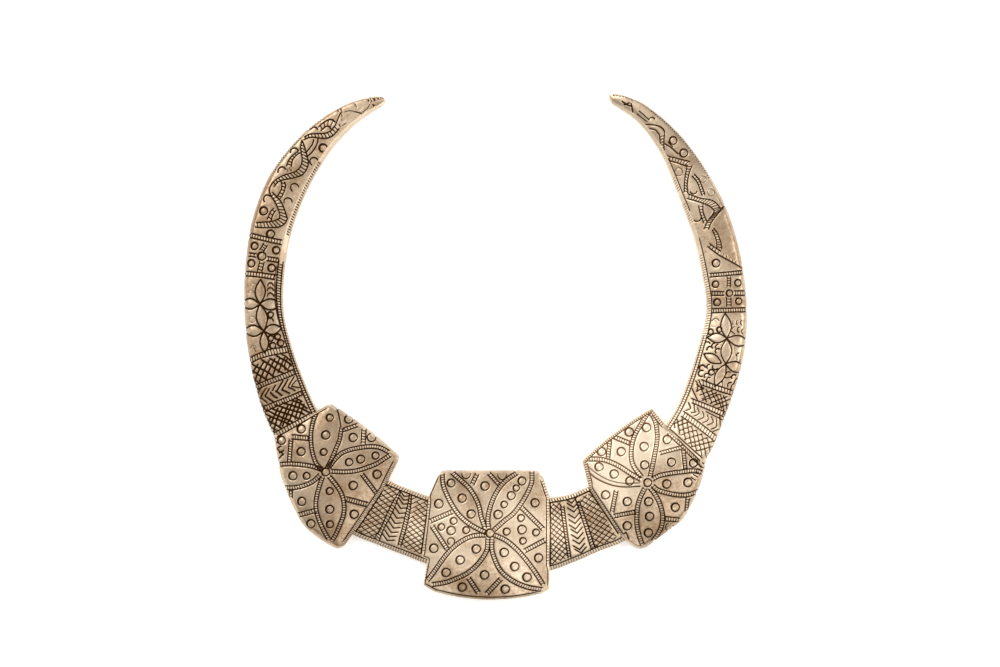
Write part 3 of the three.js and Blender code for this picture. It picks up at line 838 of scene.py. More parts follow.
            [(-77.7, 77.5), (-79.3, 76.3), (-80.5, 74.7), (-80.9, 73.5), (-81.1, 72.1)],
        ),
        (1.28,
            [(-88, 55.4), (-89.3, 54), (-90.5, 51.2)],
            [(-87.2, 54.6), (-88.4, 52.8), (-89.1, 50.4)],
        ),
    ],
    "stains_and_painted_light": [
        (-65.8, 87.5, 24, 0.15), (-81.6, 69.9, 24, 0.4), (-92.7, 44.8, 24, 0.42),
        (-92.7, 18.9, 24, 0.38), (-91.1, 5, 16, 0.15), (-88.7, -16.9, 28, 0.5),
        (-87.5, -28, 10.4, -0.22),
    ],
}

# %% Marks of the right arm
RIGHT_ARM_MARKS = {
    "weight": 1.0,
    "ladders": [
        (1.4, [(85.5, 28.7), (91.9, 29.3), (99.4, 30.1)]),
        (1.4, [(93, 28.1), (93, 24.1)]),
        (1.8, [(92.9, 19.9), (93, 16.4)]),
        (1.5, [(85.9, 21.5), (91.1, 21.5)]),
        (1.8, [(95.1, 21.7), (100.2, 21.7)]),
        (1.6, [(86.5, 14.6), (93.5, 14.9), (101, 15.1)]),
        (1.2, [(78.9, 68.7), (80.9, 66.3), (82, 63.5), (83, 60.7)]),
    ],
    "lines": [
        (0.5, [(89.1, 36.8), (92.7, 34.8), (98.7, 31.6)]),
        (0.3, [(90.5, 36), (91, 37.5)]),
        (0.3, [(95.3, 8.4), (93.9, 7.3)]),
        (0.4, [(93.9, 6.6), (95.3, 5.5)]),
        (0.4, [(91.1, -11.8), (92.5, -12), (93.9, -11.6)]),
        (0.5, [(93.5, -17.7), (94.3, -14.9), (95.3, -14.1), (95.5, -13.1), (96.8, -12)]),
        (0.3, [(90.5, -12.9), (90.4, -15.5)]),
        (0.2, [(95.1, 0.4), (95.3, -1.2), (95.5, -3)]),
        (0.2, [(83.1, 0.6), (82.9, -1)]),
        (0.3, [(91.8, 35.4), (92.3, 36.8)]),
        (0.3, [(93.1, 34.6), (93.5, 36)]),
        (0.3, [(94.3, 34), (94.7, 35.2)]),
        (0.3, [(95.5, 33.4), (95.8, 34.4)]),
        (0.5, [(58.2, 88.9), (62.2, 88.7), (65, 88.3), (67, 87.1), (67.6, 85.5)]),
        (0.5, [(60.6, 87.3), (63.8, 86.7), (65.5, 84.7)]),
        (0.4, [(83.9, -25.4), (91.3, -29.2)]),
        (0.5, [(69.4, -32.2), (76.4, -38.6), (83.9, -45.3)]),
        (0.4, [(56.6, 93.1), (60.6, 89.9)]),
        (0.4, [(57.4, 94.3), (61.4, 90.7)]),
        (0.6, [(54.3, 97.1), (55.2, 92.3)]),
        (0.6, [(50.7, 98.1), (52.7, 96.7), (53.8, 96.3)]),
        (0.6, [(51.5, 96.7), (53.5, 97.5)]),
        (0.5, [(67.7, 81.1), (70.5, 79.3), (72.9, 77.1)]),
        (0.4, [(68.9, 81.9), (70.7, 79.9)]),
        (0.4, [(79.9, -13.3), (80.7, -14.9), (80.3, -17.3)]),
        (0.4, [(81.1, -12.9), (81.7, -14.5), (82.7, -16.5)]),
        (0.4, [(80.3, -14.7), (81.5, -15.7), (83.1, -15.9)]),
        (0.4, [(80.1, -17.5), (81.5, -16.7), (83.1, -16.4)]),
        (0.4, [(78.4, -16.3), (79.4, -18.5), (80.5, -20.8)]),
        (0.4, [(81.5, -18.9), (83.9, -17.9), (86.7, -16.9)]),
        (0.4, [(82.5, -20.4), (85.1, -19.1), (88.1, -17.9)]),
        (0.4, [(82.3, -21), (85.9, -19.9), (89.1, -18.6)]),
        (0.4, [(85.5, -22.2), (88.7, -20.8), (92.3, -19.5)]),
        (0.4, [(86.7, -23), (90.3, -21.8), (94.6, -20.2)]),
        (0.4, [(88.7, -24), (91.1, -23.2), (93.9, -22.4)]),
        (0.4, [(81.9, -16.1), (83.1, -18.9), (84.1, -21.6)]),
        (0.4, [(83.9, -16.5), (85.1, -19.3), (86.3, -22.2)]),
        (0.4, [(85.9, -16.9), (87.1, -19.7), (88.3, -22.4)]),
        (0.4, [(87.7, -18.1), (88.9, -20.8), (90.1, -24.2)]),
        (0.4, [(89.5, -18.7), (90.3, -21.2), (91.3, -26.8)]),
        (0.4, [(90.7, -19.1), (91.9, -21.6), (92.6, -25.2)]),
        (0.4, [(71.6, -30.2), (73.6, -29.2), (75.2, -28.6)]),
        (0.4, [(72.8, -31.2), (75.2, -30.2), (77, -29.6)]),
        (0.4, [(73.2, -33.2), (75.6, -32.2), (78.4, -31.2)]),
        (0.4, [(74, -34.8), (77.2, -33.6), (80.3, -32.8)]),
        (0.4, [(75.2, -36.6), (78.8, -35.4), (82.3, -34.4)]),
        (0.4, [(76.8, -38.1), (80.7, -37.2), (84.3, -35.8)]),
        (0.4, [(78, -39.5), (81.9, -38.5), (87.9, -37.1)]),
        (0.4, [(79.9, -41.1), (82.7, -40.5), (86.9, -39.3)]),
        (0.4, [(71.2, -29.4), (71.6, -32)]),
        (0.4, [(72.4, -28.4), (73, -31.2), (73.4, -34.4)]),
        (0.4, [(74.4, -28.2), (74.8, -31.6), (75.8, -36.8)]),
        (0.4, [(76.4, -29.6), (77, -33.6), (78.2, -39.1)]),
        (0.4, [(78.2, -31.6), (79, -35.6), (80.1, -41.1)]),
        (0.4, [(80.1, -32.8), (81.1, -37.6), (82.3, -43.1)]),
        (0.4, [(82.1, -34.2), (82.9, -38.3), (84.3, -43.9)]),
        (0.4, [(84.3, -36), (85.1, -38.7), (85.8, -41.9)]),
        (0.4, [(77, -22), (77.8, -24.2), (76, -25)]),
        (0.4, [(79.2, -22.8), (79.4, -25.2)]),
        (0.4, [(79.9, -25.6), (78, -26)]),
        (0.4, [(80.5, -23.8), (81.1, -26.2), (79.2, -27.2)]),
        (0.4, [(82.5, -25.4), (82.9, -27.8), (80.7, -28.6)]),
        (0.4, [(84.3, -26.6), (84.7, -28.8), (82.5, -30)]),
        (0.4, [(85.9, -27.4), (86.7, -29.8), (84.3, -30.8)]),
        (0.4, [(87.9, -28.2), (88.1, -31.4), (85.9, -32.4)]),
        (0.4, [(89.3, -26.4), (89.8, -31.8)]),
        (0.4, [(90, -32.2), (86.7, -33.4)]),
    ],
    "leaves": [
        ((92.2, 3.6), (91.5, 13.6), 4.2),
        ((92.2, 3.6), (84.5, 4), 3.8),
        ((92.2, 3.6), (101.4, 1.8), 4.2),
        ((92.2, 3.5), (91.7, -6.5), 4.3),
        ((90, -6.2), (83.1, -2.5), 3.5),
        ((91.7, -6.5), (99.8, -8.9), 4.2),
        ((91.7, -6.5), (87.3, -15.5), 3.8),
    ],
    "rings": [
        (87.9, 33.6, 1.56), (87.7, 25.2, 1.32), (96.6, 25.8, 1.36), (93.2, 21.7, 1.32),
        (88.3, 18, 1.4), (96.9, 18.5, 1.32), (70.9, 82.5, 1.56), (75.1, 77.5, 1.64), (85.7, 6.3, 1.12),
        (89.2, 7.2, 1.08), (86, -9.8, 1.16),
    ],
    "arcs": [
        (73.1, 69.9, 1.6, 0, 360, 0.2), (82.8, 67.1, 1.32, 0, 360, 0.2), (86, 61.9, 1.4, 0, 360, 0.2),
        (94.3, 39.4, 1.6, 0, 360, -0.1), (62.2, 83.5, 1.28, 30, 150), (62.6, 90.5, 1.2, 30, 150),
        (79, 62.5, 1.4, 200, 350), (80.4, 51.8, 1.6, 230, 360), (87.7, 10, 1.52, 20, 160, 0.2),
        (86.8, 9.5, 1.44, 0, 360, 0), (84.5, 1.2, 1.12, 20, 170), (85.5, -0.8, 1.2, 30, 190, 0.5),
        (87.3, 0.6, 1.12, 90, 230, 0.5), (88.7, 0.2, 1.04, 90, 200, 0.5),
        (88.7, -1.5, 1.08, 60, 220, 0.55), (85.2, -7.7, 1, 80, 220),
        (87.5, -7.8, 1.04, 150, 330, 0.55), (82.5, -8.2, 1.24, 20, 200, 0.55),
        (82.1, -10.3, 1.24, 60, 290, 0.5), (84.2, -11.3, 1, 60, 220), (85.2, -12.9, 1.08, 70, 200),
        (92.9, -10.5, 0.92, 40, 180), (95.1, -11.9, 1.12, 50, 200, 0.55),
        (93.6, -15, 1.16, 70, 200, 0.55), (95.5, 9.9, 1.12, 130, 230, 0.25),
        (97.1, 10, 1.12, 130, 230, 0.35), (98.7, 10, 1.12, 130, 230, 0.4),
        (97.4, 7.1, 1.08, 110, 250, 0.5), (99, 6.4, 0.96, 110, 250, 0.35), (96.9, -3.1, 0.92, 90, 200),
        (97, -4.7, 0.88, 150, 200, 0.3), (98.4, -5.3, 0.88, 150, 200, 0.3),
    ],
    "rungs": [
        (1.16,
            [(82.1, -12.8), (86.6, -14.5), (90.3, -15.7), (95.6, -17.5)],
            [(82.5, -15), (86.3, -16.3), (89.9, -17.6), (95.1, -19.2)],
        ),
        (1.16,
            [(78.2, -20.3), (85.1, -22.9), (92.7, -26.1)],
            [(78.4, -22), (84.7, -24.7), (91.9, -28)],
        ),
        (1.16,
            [(75.1, -25.4), (81.5, -30), (88.9, -35.7)],
            [(74.2, -27.4), (80.7, -32.1), (87.9, -37.8)],
        ),
        (1.08,
            [(69.2, -33.2), (74.2, -37.9), (81.5, -44.9)],
            [(68.4, -34.2), (73.6, -39.1), (82.2, -47.8)],
        ),
        (1.08, [(67.5, 85.1), (67.2, 81.5), (67.5, 77.9)], [(65.5, 84.3), (65.8, 81.5), (65.7, 77.5)]),
        (1.08,
            [(67.5, 77.9), (68.9, 76.3), (73.3, 75.1), (77.7, 74.1)],
            [(66.9, 75.9), (68.9, 74.7), (72.5, 73.5), (76.1, 72.3)],
        ),
        (1.08,
            [(76.5, 72.7), (75.5, 67.1), (75.3, 61.9)],
            [(78.5, 72.7), (77.1, 68.7), (76.5, 64.7), (76.9, 61.1)],
        ),
        (1.08,
            [(76.9, 61.1), (81.6, 59.5), (85.6, 58.9), (88, 57.6), (89.8, 55.4)],
            [(76.5, 59.3), (81.6, 57.8), (85.2, 56.4), (87, 54.8)],
        ),
        (1.08,
            [(91.8, 56.8), (88.4, 52.8), (86, 49.6), (85, 47)],
            [(87.2, 54.8), (87, 53.6), (84.4, 50), (83.2, 47.2)],
        ),
        (1.04, [(81, 56.4), (81.6, 53.6), (83, 49.6)], [(82.8, 56.8), (82.8, 54), (84.2, 50.4)]),
        (1,
            [(86.4, 46.8), (87.9, 43.2), (88.3, 39.6)],
            [(87, 47.6), (88.7, 45.2), (89.9, 41.6), (90.3, 39.2)],
        ),
        (1.16, [(84.6, 40.2), (86.7, 38.5), (89.1, 36.8)], [(85.4, 41.3), (87.5, 39.8), (89.9, 38.4)]),
    ],
    "stains_and_painted_light": [
        (77.6, -35.2, 24.8, -0.7), (92.3, 1, 16.8, -0.35), (91.5, 22.9, 16, 0.1),
        (87.9, 16.5, 8.8, 0.35), (87.6, 50.8, 20, 0.15), (77.7, 78.7, 20, 0.2),
    ],
}

# %% Marks of the left plaque
LEFT_PLAQUE_MARKS = {
    "weight": 1.08,
    "ladders": [
        (1.4, [
            (-70.7, -25.2), (-72.3, -29.2), (-73.1, -33.5), (-73.1, -37.9), (-72.5, -41.9),
            (-71.1, -45.9), (-68.7, -48.6),
        ]),
        (1.4, [(-61, -31.9), (-61.8, -36.7), (-63.4, -40.7), (-65.1, -44.7), (-66.7, -47.8)]),
        (1.5, [
            (-65.9, -47.6), (-63.6, -44.5), (-60.8, -41.9), (-57.2, -40.5), (-53.2, -39.7),
            (-48.9, -39.3), (-45.3, -39.9), (-42.3, -41.5),
        ]),
        (1.5, [
            (-65.1, -49.2), (-59.6, -49.4), (-55.2, -49), (-51.2, -47.8), (-47.3, -46.3),
            (-44.1, -44.3), (-41.7, -42.7),
        ]),
        (1.5, [
            (-68.5, -51.4), (-70.1, -56.2), (-71.1, -60.6), (-71.1, -64.5), (-69.9, -68.9),
            (-68.1, -72.9), (-66.3, -76.1),
        ]),
        (1.5, [
            (-65.9, -51.2), (-62.8, -55), (-60.8, -58.6), (-60, -62.5), (-60.2, -66.5), (-61.6, -70.5),
            (-63.2, -74.1), (-64.8, -76.8),
        ]),
        (1.5, [(-69.1, -48.4), (-72.7, -47.2), (-76.7, -46.6), (-81.4, -46.3), (-87, -46.6)]),
        (1.5, [(-69.5, -50.6), (-72.3, -53.2), (-76.3, -55), (-80.2, -55.8), (-84.2, -55.8)]),
        (1.4, [(-60.2, -32.7), (-54.8, -30.8)]),
        (1.7, [(-52.1, -32.5), (-52.4, -38.1)]),
        (1.4, [(-52.8, -50.4), (-47.3, -57.8)]),
        (1.8, [(-59.2, -60.2), (-50.8, -62.5)]),
        (1.7, [(-71.3, -64.8), (-78.3, -66.7)]),
        (1.4, [(-81.2, -56.6), (-81.4, -59.8)]),
        (1.7, [(-80.8, -35.5), (-73.9, -36.1)]),
        (1.5, [(-81.1, -36.7), (-81.8, -45.1)]),
    ],
    "lines": [
        (0.5, [(-63.2, -23.2), (-62, -27.2), (-61.2, -31.6)]),
        (0.6, [(-86.8, -40.5), (-84.2, -42.4)]),
        (0.6, [(-84.2, -42.4), (-86.6, -44.5)]),
    ],
    "rings": [
        (-67.3, -49.4, 1.6), (-65.7, -27.8, 1.44), (-67.3, -34.7, 1.68), (-68.1, -41.5, 1.4),
        (-58, -45.5, 1.48), (-53.4, -44.3, 1.64), (-47.5, -42.9, 1.44), (-65.7, -57, 1.44),
        (-65.7, -64.3, 1.64), (-65.7, -70.3, 1.44), (-80.4, -51, 1.68), (-74.9, -51, 1.4),
        (-58.2, -28.4, 1.68), (-56.4, -35.7, 1.68), (-46.9, -50.4, 1.68), (-56.4, -54.8, 1.68),
        (-56, -66.3, 1.68), (-76.9, -61.2, 1.68), (-73.3, -70.1, 1.68), (-77.1, -32.3, 1.64),
        (-85, -36.9, 1.64), (-77.1, -41.3, 1.64),
    ],
    "arcs": [
        (-49.1, -35.7, 1.68, 110, 390),
    ],
    "stains_and_painted_light": [
        (-65.5, -50.6, 34, 0.14), (-59.6, -52.6, 24, 0.25), (-63.6, -30.8, 18, 0.4),
        (-45.7, -44.7, 16, 0.35), (-65.5, -70.5, 20, 0.35), (-77.5, -40.7, 14, 0.3),
    ],
}

# %% Marks of the centre plaque
CENTRE_PLAQUE_MARKS = {
    "weight": 1.0,
    "ladders": [
        (1.6, [
            (-21, -50.2), (-20.6, -54.6), (-19.1, -58.6), (-17.1, -62.5), (-14.3, -66.5),
            (-10.7, -69.7), (-6.7, -72.1), (-3.6, -73.5),
        ]),
        (1.6, [
            (-17.1, -49.6), (-13.5, -52.8), (-10.3, -55.8), (-7.9, -59.4), (-6.3, -63.3),
            (-5.5, -67.3), (-4, -71.5),
        ]),
        (1.6, [
            (8.8, -49.8), (5.2, -52.2), (2, -55.4), (-0.4, -59.4), (-2, -63.7), (-2.8, -67.7),
            (-2.6, -71.5),
        ]),
        (1.6, [
            (14.7, -49.4), (14.7, -52.6), (14.3, -54.6), (12.7, -58.2), (10.3, -62.1), (7.2, -66.1),
            (3.6, -68.9), (-0.4, -72.5),
        ]),
        (1.6, [
            (-3.8, -74.5), (-7.9, -74.7), (-11.9, -76.1), (-15.9, -78.8), (-19.1, -82), (-21.8, -85.6),
            (-24.6, -89.6), (-27, -92.7),
        ]),
        (1.6, [
            (-2.8, -75.9), (-3.2, -80.4), (-5.2, -84), (-7.9, -87.2), (-11.5, -90), (-15.5, -91.9),
            (-19.9, -93.5), (-25, -94.3),
        ]),
        (1.6, [
            (-0.2, -74.5), (4, -76.4), (7.6, -79.2), (10.7, -82.4), (13.9, -86.4), (16.7, -90.4),
            (19.1, -94.3),
        ]),
        (1.6, [
            (-1.2, -75.9), (-1.2, -80.4), (0, -84.4), (2, -88.4), (5.2, -91.5), (9.2, -93.9),
            (13.9, -95.5), (18.7, -96.3),
        ]),
        (1.5, [(-7.1, -50.2), (-9.1, -54.4)]),
        (1.4, [(-2.4, -50), (1.6, -54.4)]),
        (1.6, [(-25.8, -69.1), (-17.1, -65.3)]),
        (1.6, [(-25, -71.1), (-19.1, -80)]),
        (1.6, [(10.7, -63.7), (19.1, -72.1)]),
        (1.6, [(11.9, -80.8), (19.9, -76.6)]),
        (1.6, [(-10.5, -91.7), (-6.7, -97.5)]),
        (1.6, [(2.2, -92.1), (-3.2, -97.9)]),
    ],
    "rings": [
        (-2, -73.7, 1.68), (-17.5, -53.8, 1.6), (-13.1, -59.8, 1.68), (-9.5, -66.1, 1.68),
        (10.7, -53, 1.64), (8.4, -55.8, 1.28), (6.4, -58.8, 1.64), (3.6, -62.3, 1.36),
        (1.2, -66.3, 1.72), (-7.5, -80, 1.72), (-13.9, -84.4, 1.72), (-19.5, -89.4, 1.72),
        (3.6, -81.4, 1.72), (7.8, -87, 1.72), (12.7, -91.3, 1.72), (-4, -55, 1.72),
        (-22.4, -62.1, 1.76), (-16.5, -68.9, 1.4), (-21.4, -71.3, 1.36), (-17.5, -72.7, 1.72),
        (-11.5, -72.5, 1.4), (-24.4, -79.8, 1.72), (15.9, -61.7, 1.68), (10.3, -67.7, 1.4),
        (10.7, -72.3, 1.76), (4.6, -73.1, 1.44), (16.3, -73.5, 1.4), (11.1, -76.8, 1.36),
        (17.3, -83.6, 1.68), (-4.2, -90.4, 1.72), (-13.1, -95.3, 1.68), (4, -96.1, 1.68),
    ],
    "arcs": [
        (-11.5, -50.4, 1.68, 170, 370), (2.8, -50.8, 1.68, 170, 370), (-17.5, -77, 1.4, -30, 240),
    ],
    "stains_and_painted_light": [
        (-4, -97.9, 16, 0.7), (-13.9, -93.1, 9.6, 0.4), (-14.7, -52.6, 8.8, 0.5),
        (-8.3, -61.4, 5.6, 0.4), (13.9, -59, 8, 0.4), (2.8, -51.8, 8, 0.35), (-19.1, -90, 7.2, 0.35),
        (-5.9, -84.4, 8, 0.25), (-9.9, -76.4, 24, -0.3), (-19.9, -67.7, 16, -0.5),
        (13.9, -68.5, 24, -0.5), (6.8, -60.6, 12, -0.3), (9.9, -86.4, 14, -0.4),
        (-15.9, -83.6, 8, -0.3),
    ],
}

# %% Marks of the right plaque
RIGHT_PLAQUE_MARKS = {
    "weight": 0.95,
    "ladders": [
        (1.6, [
            (60.8, -26), (58, -30.6), (55.6, -34.9), (54.4, -39.1), (54.1, -43.1), (55, -47),
            (58.2, -51.4),
        ]),
        (1.6, [
            (62, -25.8), (63.6, -28.8), (64.4, -32.7), (64.4, -37.5), (63.6, -41.9), (62.8, -45.9),
            (61.6, -51.4),
        ]),
        (1.6, [(36.2, -44.3), (42.5, -44.5), (46.9, -45.9), (50.5, -47.8), (54.1, -50.2), (58, -52.4)]),
        (1.6, [
            (62.6, -52.2), (65.6, -50.8), (69.5, -50), (74.3, -49.4), (78.7, -49), (83.1, -49.8),
            (85.4, -50.6),
        ]),
        (1.6, [
            (62.6, -55), (64.8, -56.6), (68.4, -57.8), (72.7, -58.6), (76.7, -58.6), (80.7, -57.4),
            (83.1, -56.4),
        ]),
        (1.6, [
            (59.6, -55.8), (58, -59), (56.8, -62.5), (56.4, -66.5), (56.4, -70.5), (57.2, -74.5),
            (58.6, -78.4),
        ]),
        (1.6, [
            (61.6, -55.8), (64, -59), (65.6, -62.5), (66.6, -66.5), (66.4, -70.5), (65.2, -73.7),
            (62.8, -77.2),
        ]),
        (1.5, [(47.3, -35.5), (53.7, -38.1)]),
        (1.5, [(45.7, -36.7), (44.9, -43.9)]),
        (1.3, [(65.6, -41.9), (74.7, -39.5)]),
        (1.4, [(74.9, -40.5), (75.7, -48.4)]),
        (1.5, [(48.1, -57), (46.5, -65.5)]),
        (1.5, [(47.3, -67.1), (55.8, -65.3)]),
        (1.7, [(67.4, -68.1), (73.5, -68.7)]),
        (1.4, [(76.7, -60), (76.3, -65.3)]),
    ],
    "lines": [
        (0.5, [(50.5, -75.3), (51.9, -73.5), (53.1, -76.1)]),
        (0.3, [(37, -47.4), (40.1, -49.9), (44.1, -52.2), (48.3, -53.5), (52.5, -54), (57.6, -53.7)]),
        (0.5, [(36.4, -48.8), (39.3, -51.4), (43.3, -53.6), (47.9, -55), (52.5, -55.4), (57.6, -55.1)]),
    ],
    "rings": [
        (60.6, -53.6, 1.6), (60.2, -31.7, 1.72), (59.2, -39.3, 1.72), (59.4, -46.6, 1.68),
        (41.3, -47.4, 1.68), (47.3, -50.2, 1.72), (53.5, -53, 1.68), (68.2, -54.2, 1.72),
        (76.7, -53.6, 1.72), (61, -61.2, 1.68), (61.4, -67.1, 1.68), (61, -73.7, 1.68),
        (53.3, -33.5, 1.68), (42.3, -41.3, 1.68), (50.1, -41.3, 1.68), (68.4, -36.5, 1.68),
        (70.1, -45.5, 1.68), (78.9, -45.9, 1.68), (43.9, -58.6, 1.68), (52.5, -61.2, 1.68),
        (52.5, -70.9, 1.68), (71.7, -63.5, 1.68),
    ],
    "arcs": [
        (69.5, -71.5, 1.6, 110, 380),
    ],
    "stains_and_painted_light": [
        (43.7, -46.6, 23.2, -1.1), (63.6, -30.8, 9.6, -0.3), (60.8, -32.7, 20, -0.9),
        (67.6, -36.7, 14, -0.5), (74.3, -54.6, 14, 0.15), (62.4, -73.7, 16, 0.55),
        (57.6, -64.5, 12, 0.2), (55.2, -34.3, 4.8, 0.6), (44.9, -60.6, 12, -0.2),
    ],
}

# %% Marks of the links
LEFT_LINK_MARKS = {
    "weight": 1.08,
    "lines": [
        (0.5, [(-44.8, -57.1), (-46.2, -59.5), (-51.1, -67), (-55.6, -73.5)]),
        (0.5, [(-26.6, -60.5), (-27.5, -68.6), (-29.4, -82.1)]),
    ],
    "hatches": [
        (1.6, 24, 24, [(-43.4, -53.7), (-38.2, -56.3), (-47.3, -76.2), (-55.7, -73.4)]),
        (1.9, -40, -40, [(-43.4, -53.7), (-38.2, -56.3), (-47.3, -76.2), (-55.7, -73.4)]),
        (1.6, 26, 26, [(-33.2, -59.1), (-26.8, -60.7), (-29.2, -82.5), (-37.4, -79.4)]),
        (1.8, -44, -44, [(-31, -61.4), (-27.2, -61.8), (-29.2, -82.5), (-37.4, -79.4)]),
    ],
    "rungs": [
        (1.12,
            [(-38, -57), (-41.8, -63.6), (-45.2, -71.3), (-47.7, -75.3)],
            [(-37.5, -57.3), (-39.5, -62.6), (-41.8, -67.6), (-44.1, -71.9), (-46.1, -76.9)],
        ),
        (1.04,
            [
                (-34, -58.3), (-34.5, -61.3), (-35.5, -65.9), (-36.8, -71.6), (-37.8, -75.3),
                (-38.6, -78.7),
            ],
            [
                (-33.2, -58.9), (-33.5, -63), (-34.5, -68.6), (-35.5, -72.6), (-36.8, -76.9),
                (-37.5, -79.2),
            ],
        ),
    ],
    "heads": [
        ((-1.4, 1.8), (1.8, 0.2), [
            (-36.1, -59.2), (-36.3, -60.7),
        ]),
        ((-1.8, 2.7), (2.7, 0.2), [
            (-36.6, -62.3), (-37.5, -64), (-38.1, -66), (-39.1, -67.9), (-39.8, -70), (-40.4, -71.9),
            (-41.3, -73.7), (-42.1, -75.4), (-42.9, -77),
        ]),
    ],
    "stains_and_painted_light": [
        (-46.1, -64.6, 12.8, 0.3), (-39.8, -70.6, 24, 0.05), (-31.8, -71.4, 11.2, -0.6),
    ],
}
RIGHT_LINK_MARKS = {
    "weight": 1.12,
    "lines": [
        (0.5, [(22, -60.7), (22, -87.3)]),
        (0.5, [(37.5, -56.7), (41.2, -62.2), (45, -67.9), (49, -74)]),
    ],
    "hatches": [
        (1.6, 52, -38, [(21.8, -62.6), (26.1, -61.6), (29.1, -83.7), (21.8, -86.7)]),
        (1.8, 50, -30, [(33.8, -59.9), (38.4, -57.9), (48.6, -76), (39.8, -79.6)]),
    ],
    "rungs": [
        (1.08,
            [(26.1, -62.6), (26.8, -68.6), (27.9, -75.9), (29.1, -83.8)],
            [(27.5, -63.2), (28.4, -70.4), (29.1, -76.2), (30.2, -83.5)],
        ),
        (1.08,
            [(32.2, -60.7), (34.2, -66.8), (36, -72.6), (38.5, -80.9)],
            [(33.8, -61.4), (35.6, -66.8), (37.4, -72.2), (39.8, -79.5)],
        ),
    ],
    "heads": [
        ((-2.6, 1.6), (2, 2.4), [
            (30.6, -61.9), (31.4, -63.6), (31.5, -65.4), (31.8, -67.9), (32, -70), (32.1, -72.2),
            (32.8, -73.9), (33, -76.1), (33.6, -78.2), (33.7, -80.5), (34.3, -81.9),
        ]),
    ],
    "stains_and_painted_light": [
        (41.8, -70.6, 13.6, 0.3), (24.3, -72.6, 12.8, -0.8), (32.6, -70.6, 8.8, -0.6),
    ],
}

# %% Walk the punches along every chart
CHARTS = {
    "left_arm": LEFT_ARM_MARKS,
    "right_arm": RIGHT_ARM_MARKS,
    "left_plaque": LEFT_PLAQUE_MARKS,
    "centre_plaque": CENTRE_PLAQUE_MARKS,
    "right_plaque": RIGHT_PLAQUE_MARKS,
    "left_link": LEFT_LINK_MARKS,
    "right_link": RIGHT_LINK_MARKS,
}
PUNCHES = {
    "ladders": cut_ladder,
    "rungs": cut_rungs,
    "lines": cut_curve,
    "leaves": cut_leaf,
    "rings": cut_ring,
    "arcs": cut_arc,
    "hatches": cut_net,
    "heads": cut_heads,
}
for name, chart in CHARTS.items():
    first_cut = len(cuts)
    for kind, punch in PUNCHES.items():
        for mark in chart.get(kind, []):
            punch(*mark)
    weight = chart["weight"]
    cuts[first_cut:] = [(*stroke, half * weight) for *stroke, half in cuts[first_cut:]]
    print(name, "takes", len(cuts) - first_cut, "short cuts")

# %% Ticks over the outer edges of the arms
EDGE_TICK = 0.4  # width of such a tick
PAST_EDGE = 1.0  # how far it runs on beyond the edge


def cut_edge_ticks(table, first, last, pitch, reach, width=EDGE_TICK):
    """Short ticks over the outer edge of an arm, which notch its outline."""
    radius = read_column(table, 2, np.array([(first + last) / 2]))[0]
    count = int(math.radians(abs(last - first)) * radius / pitch)
    for angle in np.linspace(first, last, count):
        outer = read_column(table, 2, np.array([angle]))[0]
        way = np.array([math.cos(math.radians(angle)), math.sin(math.radians(angle))])
        cut_line([way * (outer - reach), way * (outer + PAST_EDGE)], width)


cut_edge_ticks(LEFT_ARM, 188.5, 206, 1.9, 0.9, 0.65)
cut_edge_ticks(RIGHT_ARM, -33.5, -25.5, 1.3, 1.0)
cut_edge_ticks(LEFT_ARM, 133, 141.5, 1.0, 1.1)
cut_edge_ticks(LEFT_ARM, 127, 130.5, 1.1, 0.9)
cut_edge_ticks(RIGHT_ARM, 38.5, 56.5, 1.07, 1.1)
cut_edge_ticks(RIGHT_ARM, 61, 64.8, 1.0, 0.9)
cuts, beads = np.array(cuts), np.array(beads)
print("the punches made", len(cuts), "short cuts in all")

# %% [markdown]
# ## Sinking the marks
# A blow of the punch leaves a steep little valley and draws the metal round it down a bit,
# so the fields between the marks look pillowed. The distance from every corner of a sheet
# to the nearest cut gives both. To find it fast, the plan is ruled into square cells, and
# a corner is only compared with the cuts that pass near its own cell.

# %% Distance to the nearest cut
CELL = 2.5  # size of a cell, in millimetres
REACH = 2.0  # no cut is felt from farther away
TINY = 1e-9  # keeps a cut of no length from dividing by zero


def sort_by_cell(strokes):
    """Which strokes pass within REACH of each cell of the plan."""
    table = {}
    low = np.minimum(strokes[:, 0:2], strokes[:, 2:4]) - REACH
    high = np.maximum(strokes[:, 0:2], strokes[:, 2:4]) + REACH
    low, high = np.floor(low / CELL).astype(int), np.floor(high / CELL).astype(int)
    for index, (start, end) in enumerate(zip(low, high)):
        for column in range(start[0], end[0] + 1):
            for row in range(start[1], end[1] + 1):
                table.setdefault((column, row), []).append(index)
    return table


CUT_TABLE, BEAD_TABLE = sort_by_cell(cuts), sort_by_cell(beads)
print("cuts pass near", len(CUT_TABLE), "cells")


def distance_to(strokes, table, plan):
    """Millimetres from each point to the edge of the nearest stroke, below zero inside it."""
    found = np.full(len(plan), REACH)
    cell = np.floor(plan / CELL).astype(int)
    order = np.lexsort((cell[:, 1], cell[:, 0]))
    change = np.any(np.diff(cell[order], axis=0) != 0, axis=1)
    for group in np.split(order, np.flatnonzero(change) + 1):
        near = table.get(tuple(cell[group[0]]))
        if near is None:
            continue
        start, end, half = strokes[near, 0:2], strokes[near, 2:4], strokes[near, 4]
        run = end - start
        off = plan[group][:, None] - start
        t = (off * run).sum(2) / np.maximum((run * run).sum(1), TINY)
        gap = off - np.clip(t, 0, 1)[:, :, None] * run
        found[group] = np.minimum((np.linalg.norm(gap, axis=2) - half).min(1), REACH)
    return found


# %% Domes, leaves and the hammered swell
RING_DOME = 0.14
LEAF_DOME = 0.12
LEAF_ROOM = 1.2  # half the width from which a leaf stands up fully
NARROW = 0.01  # keeps the point of a leaf from dividing by zero
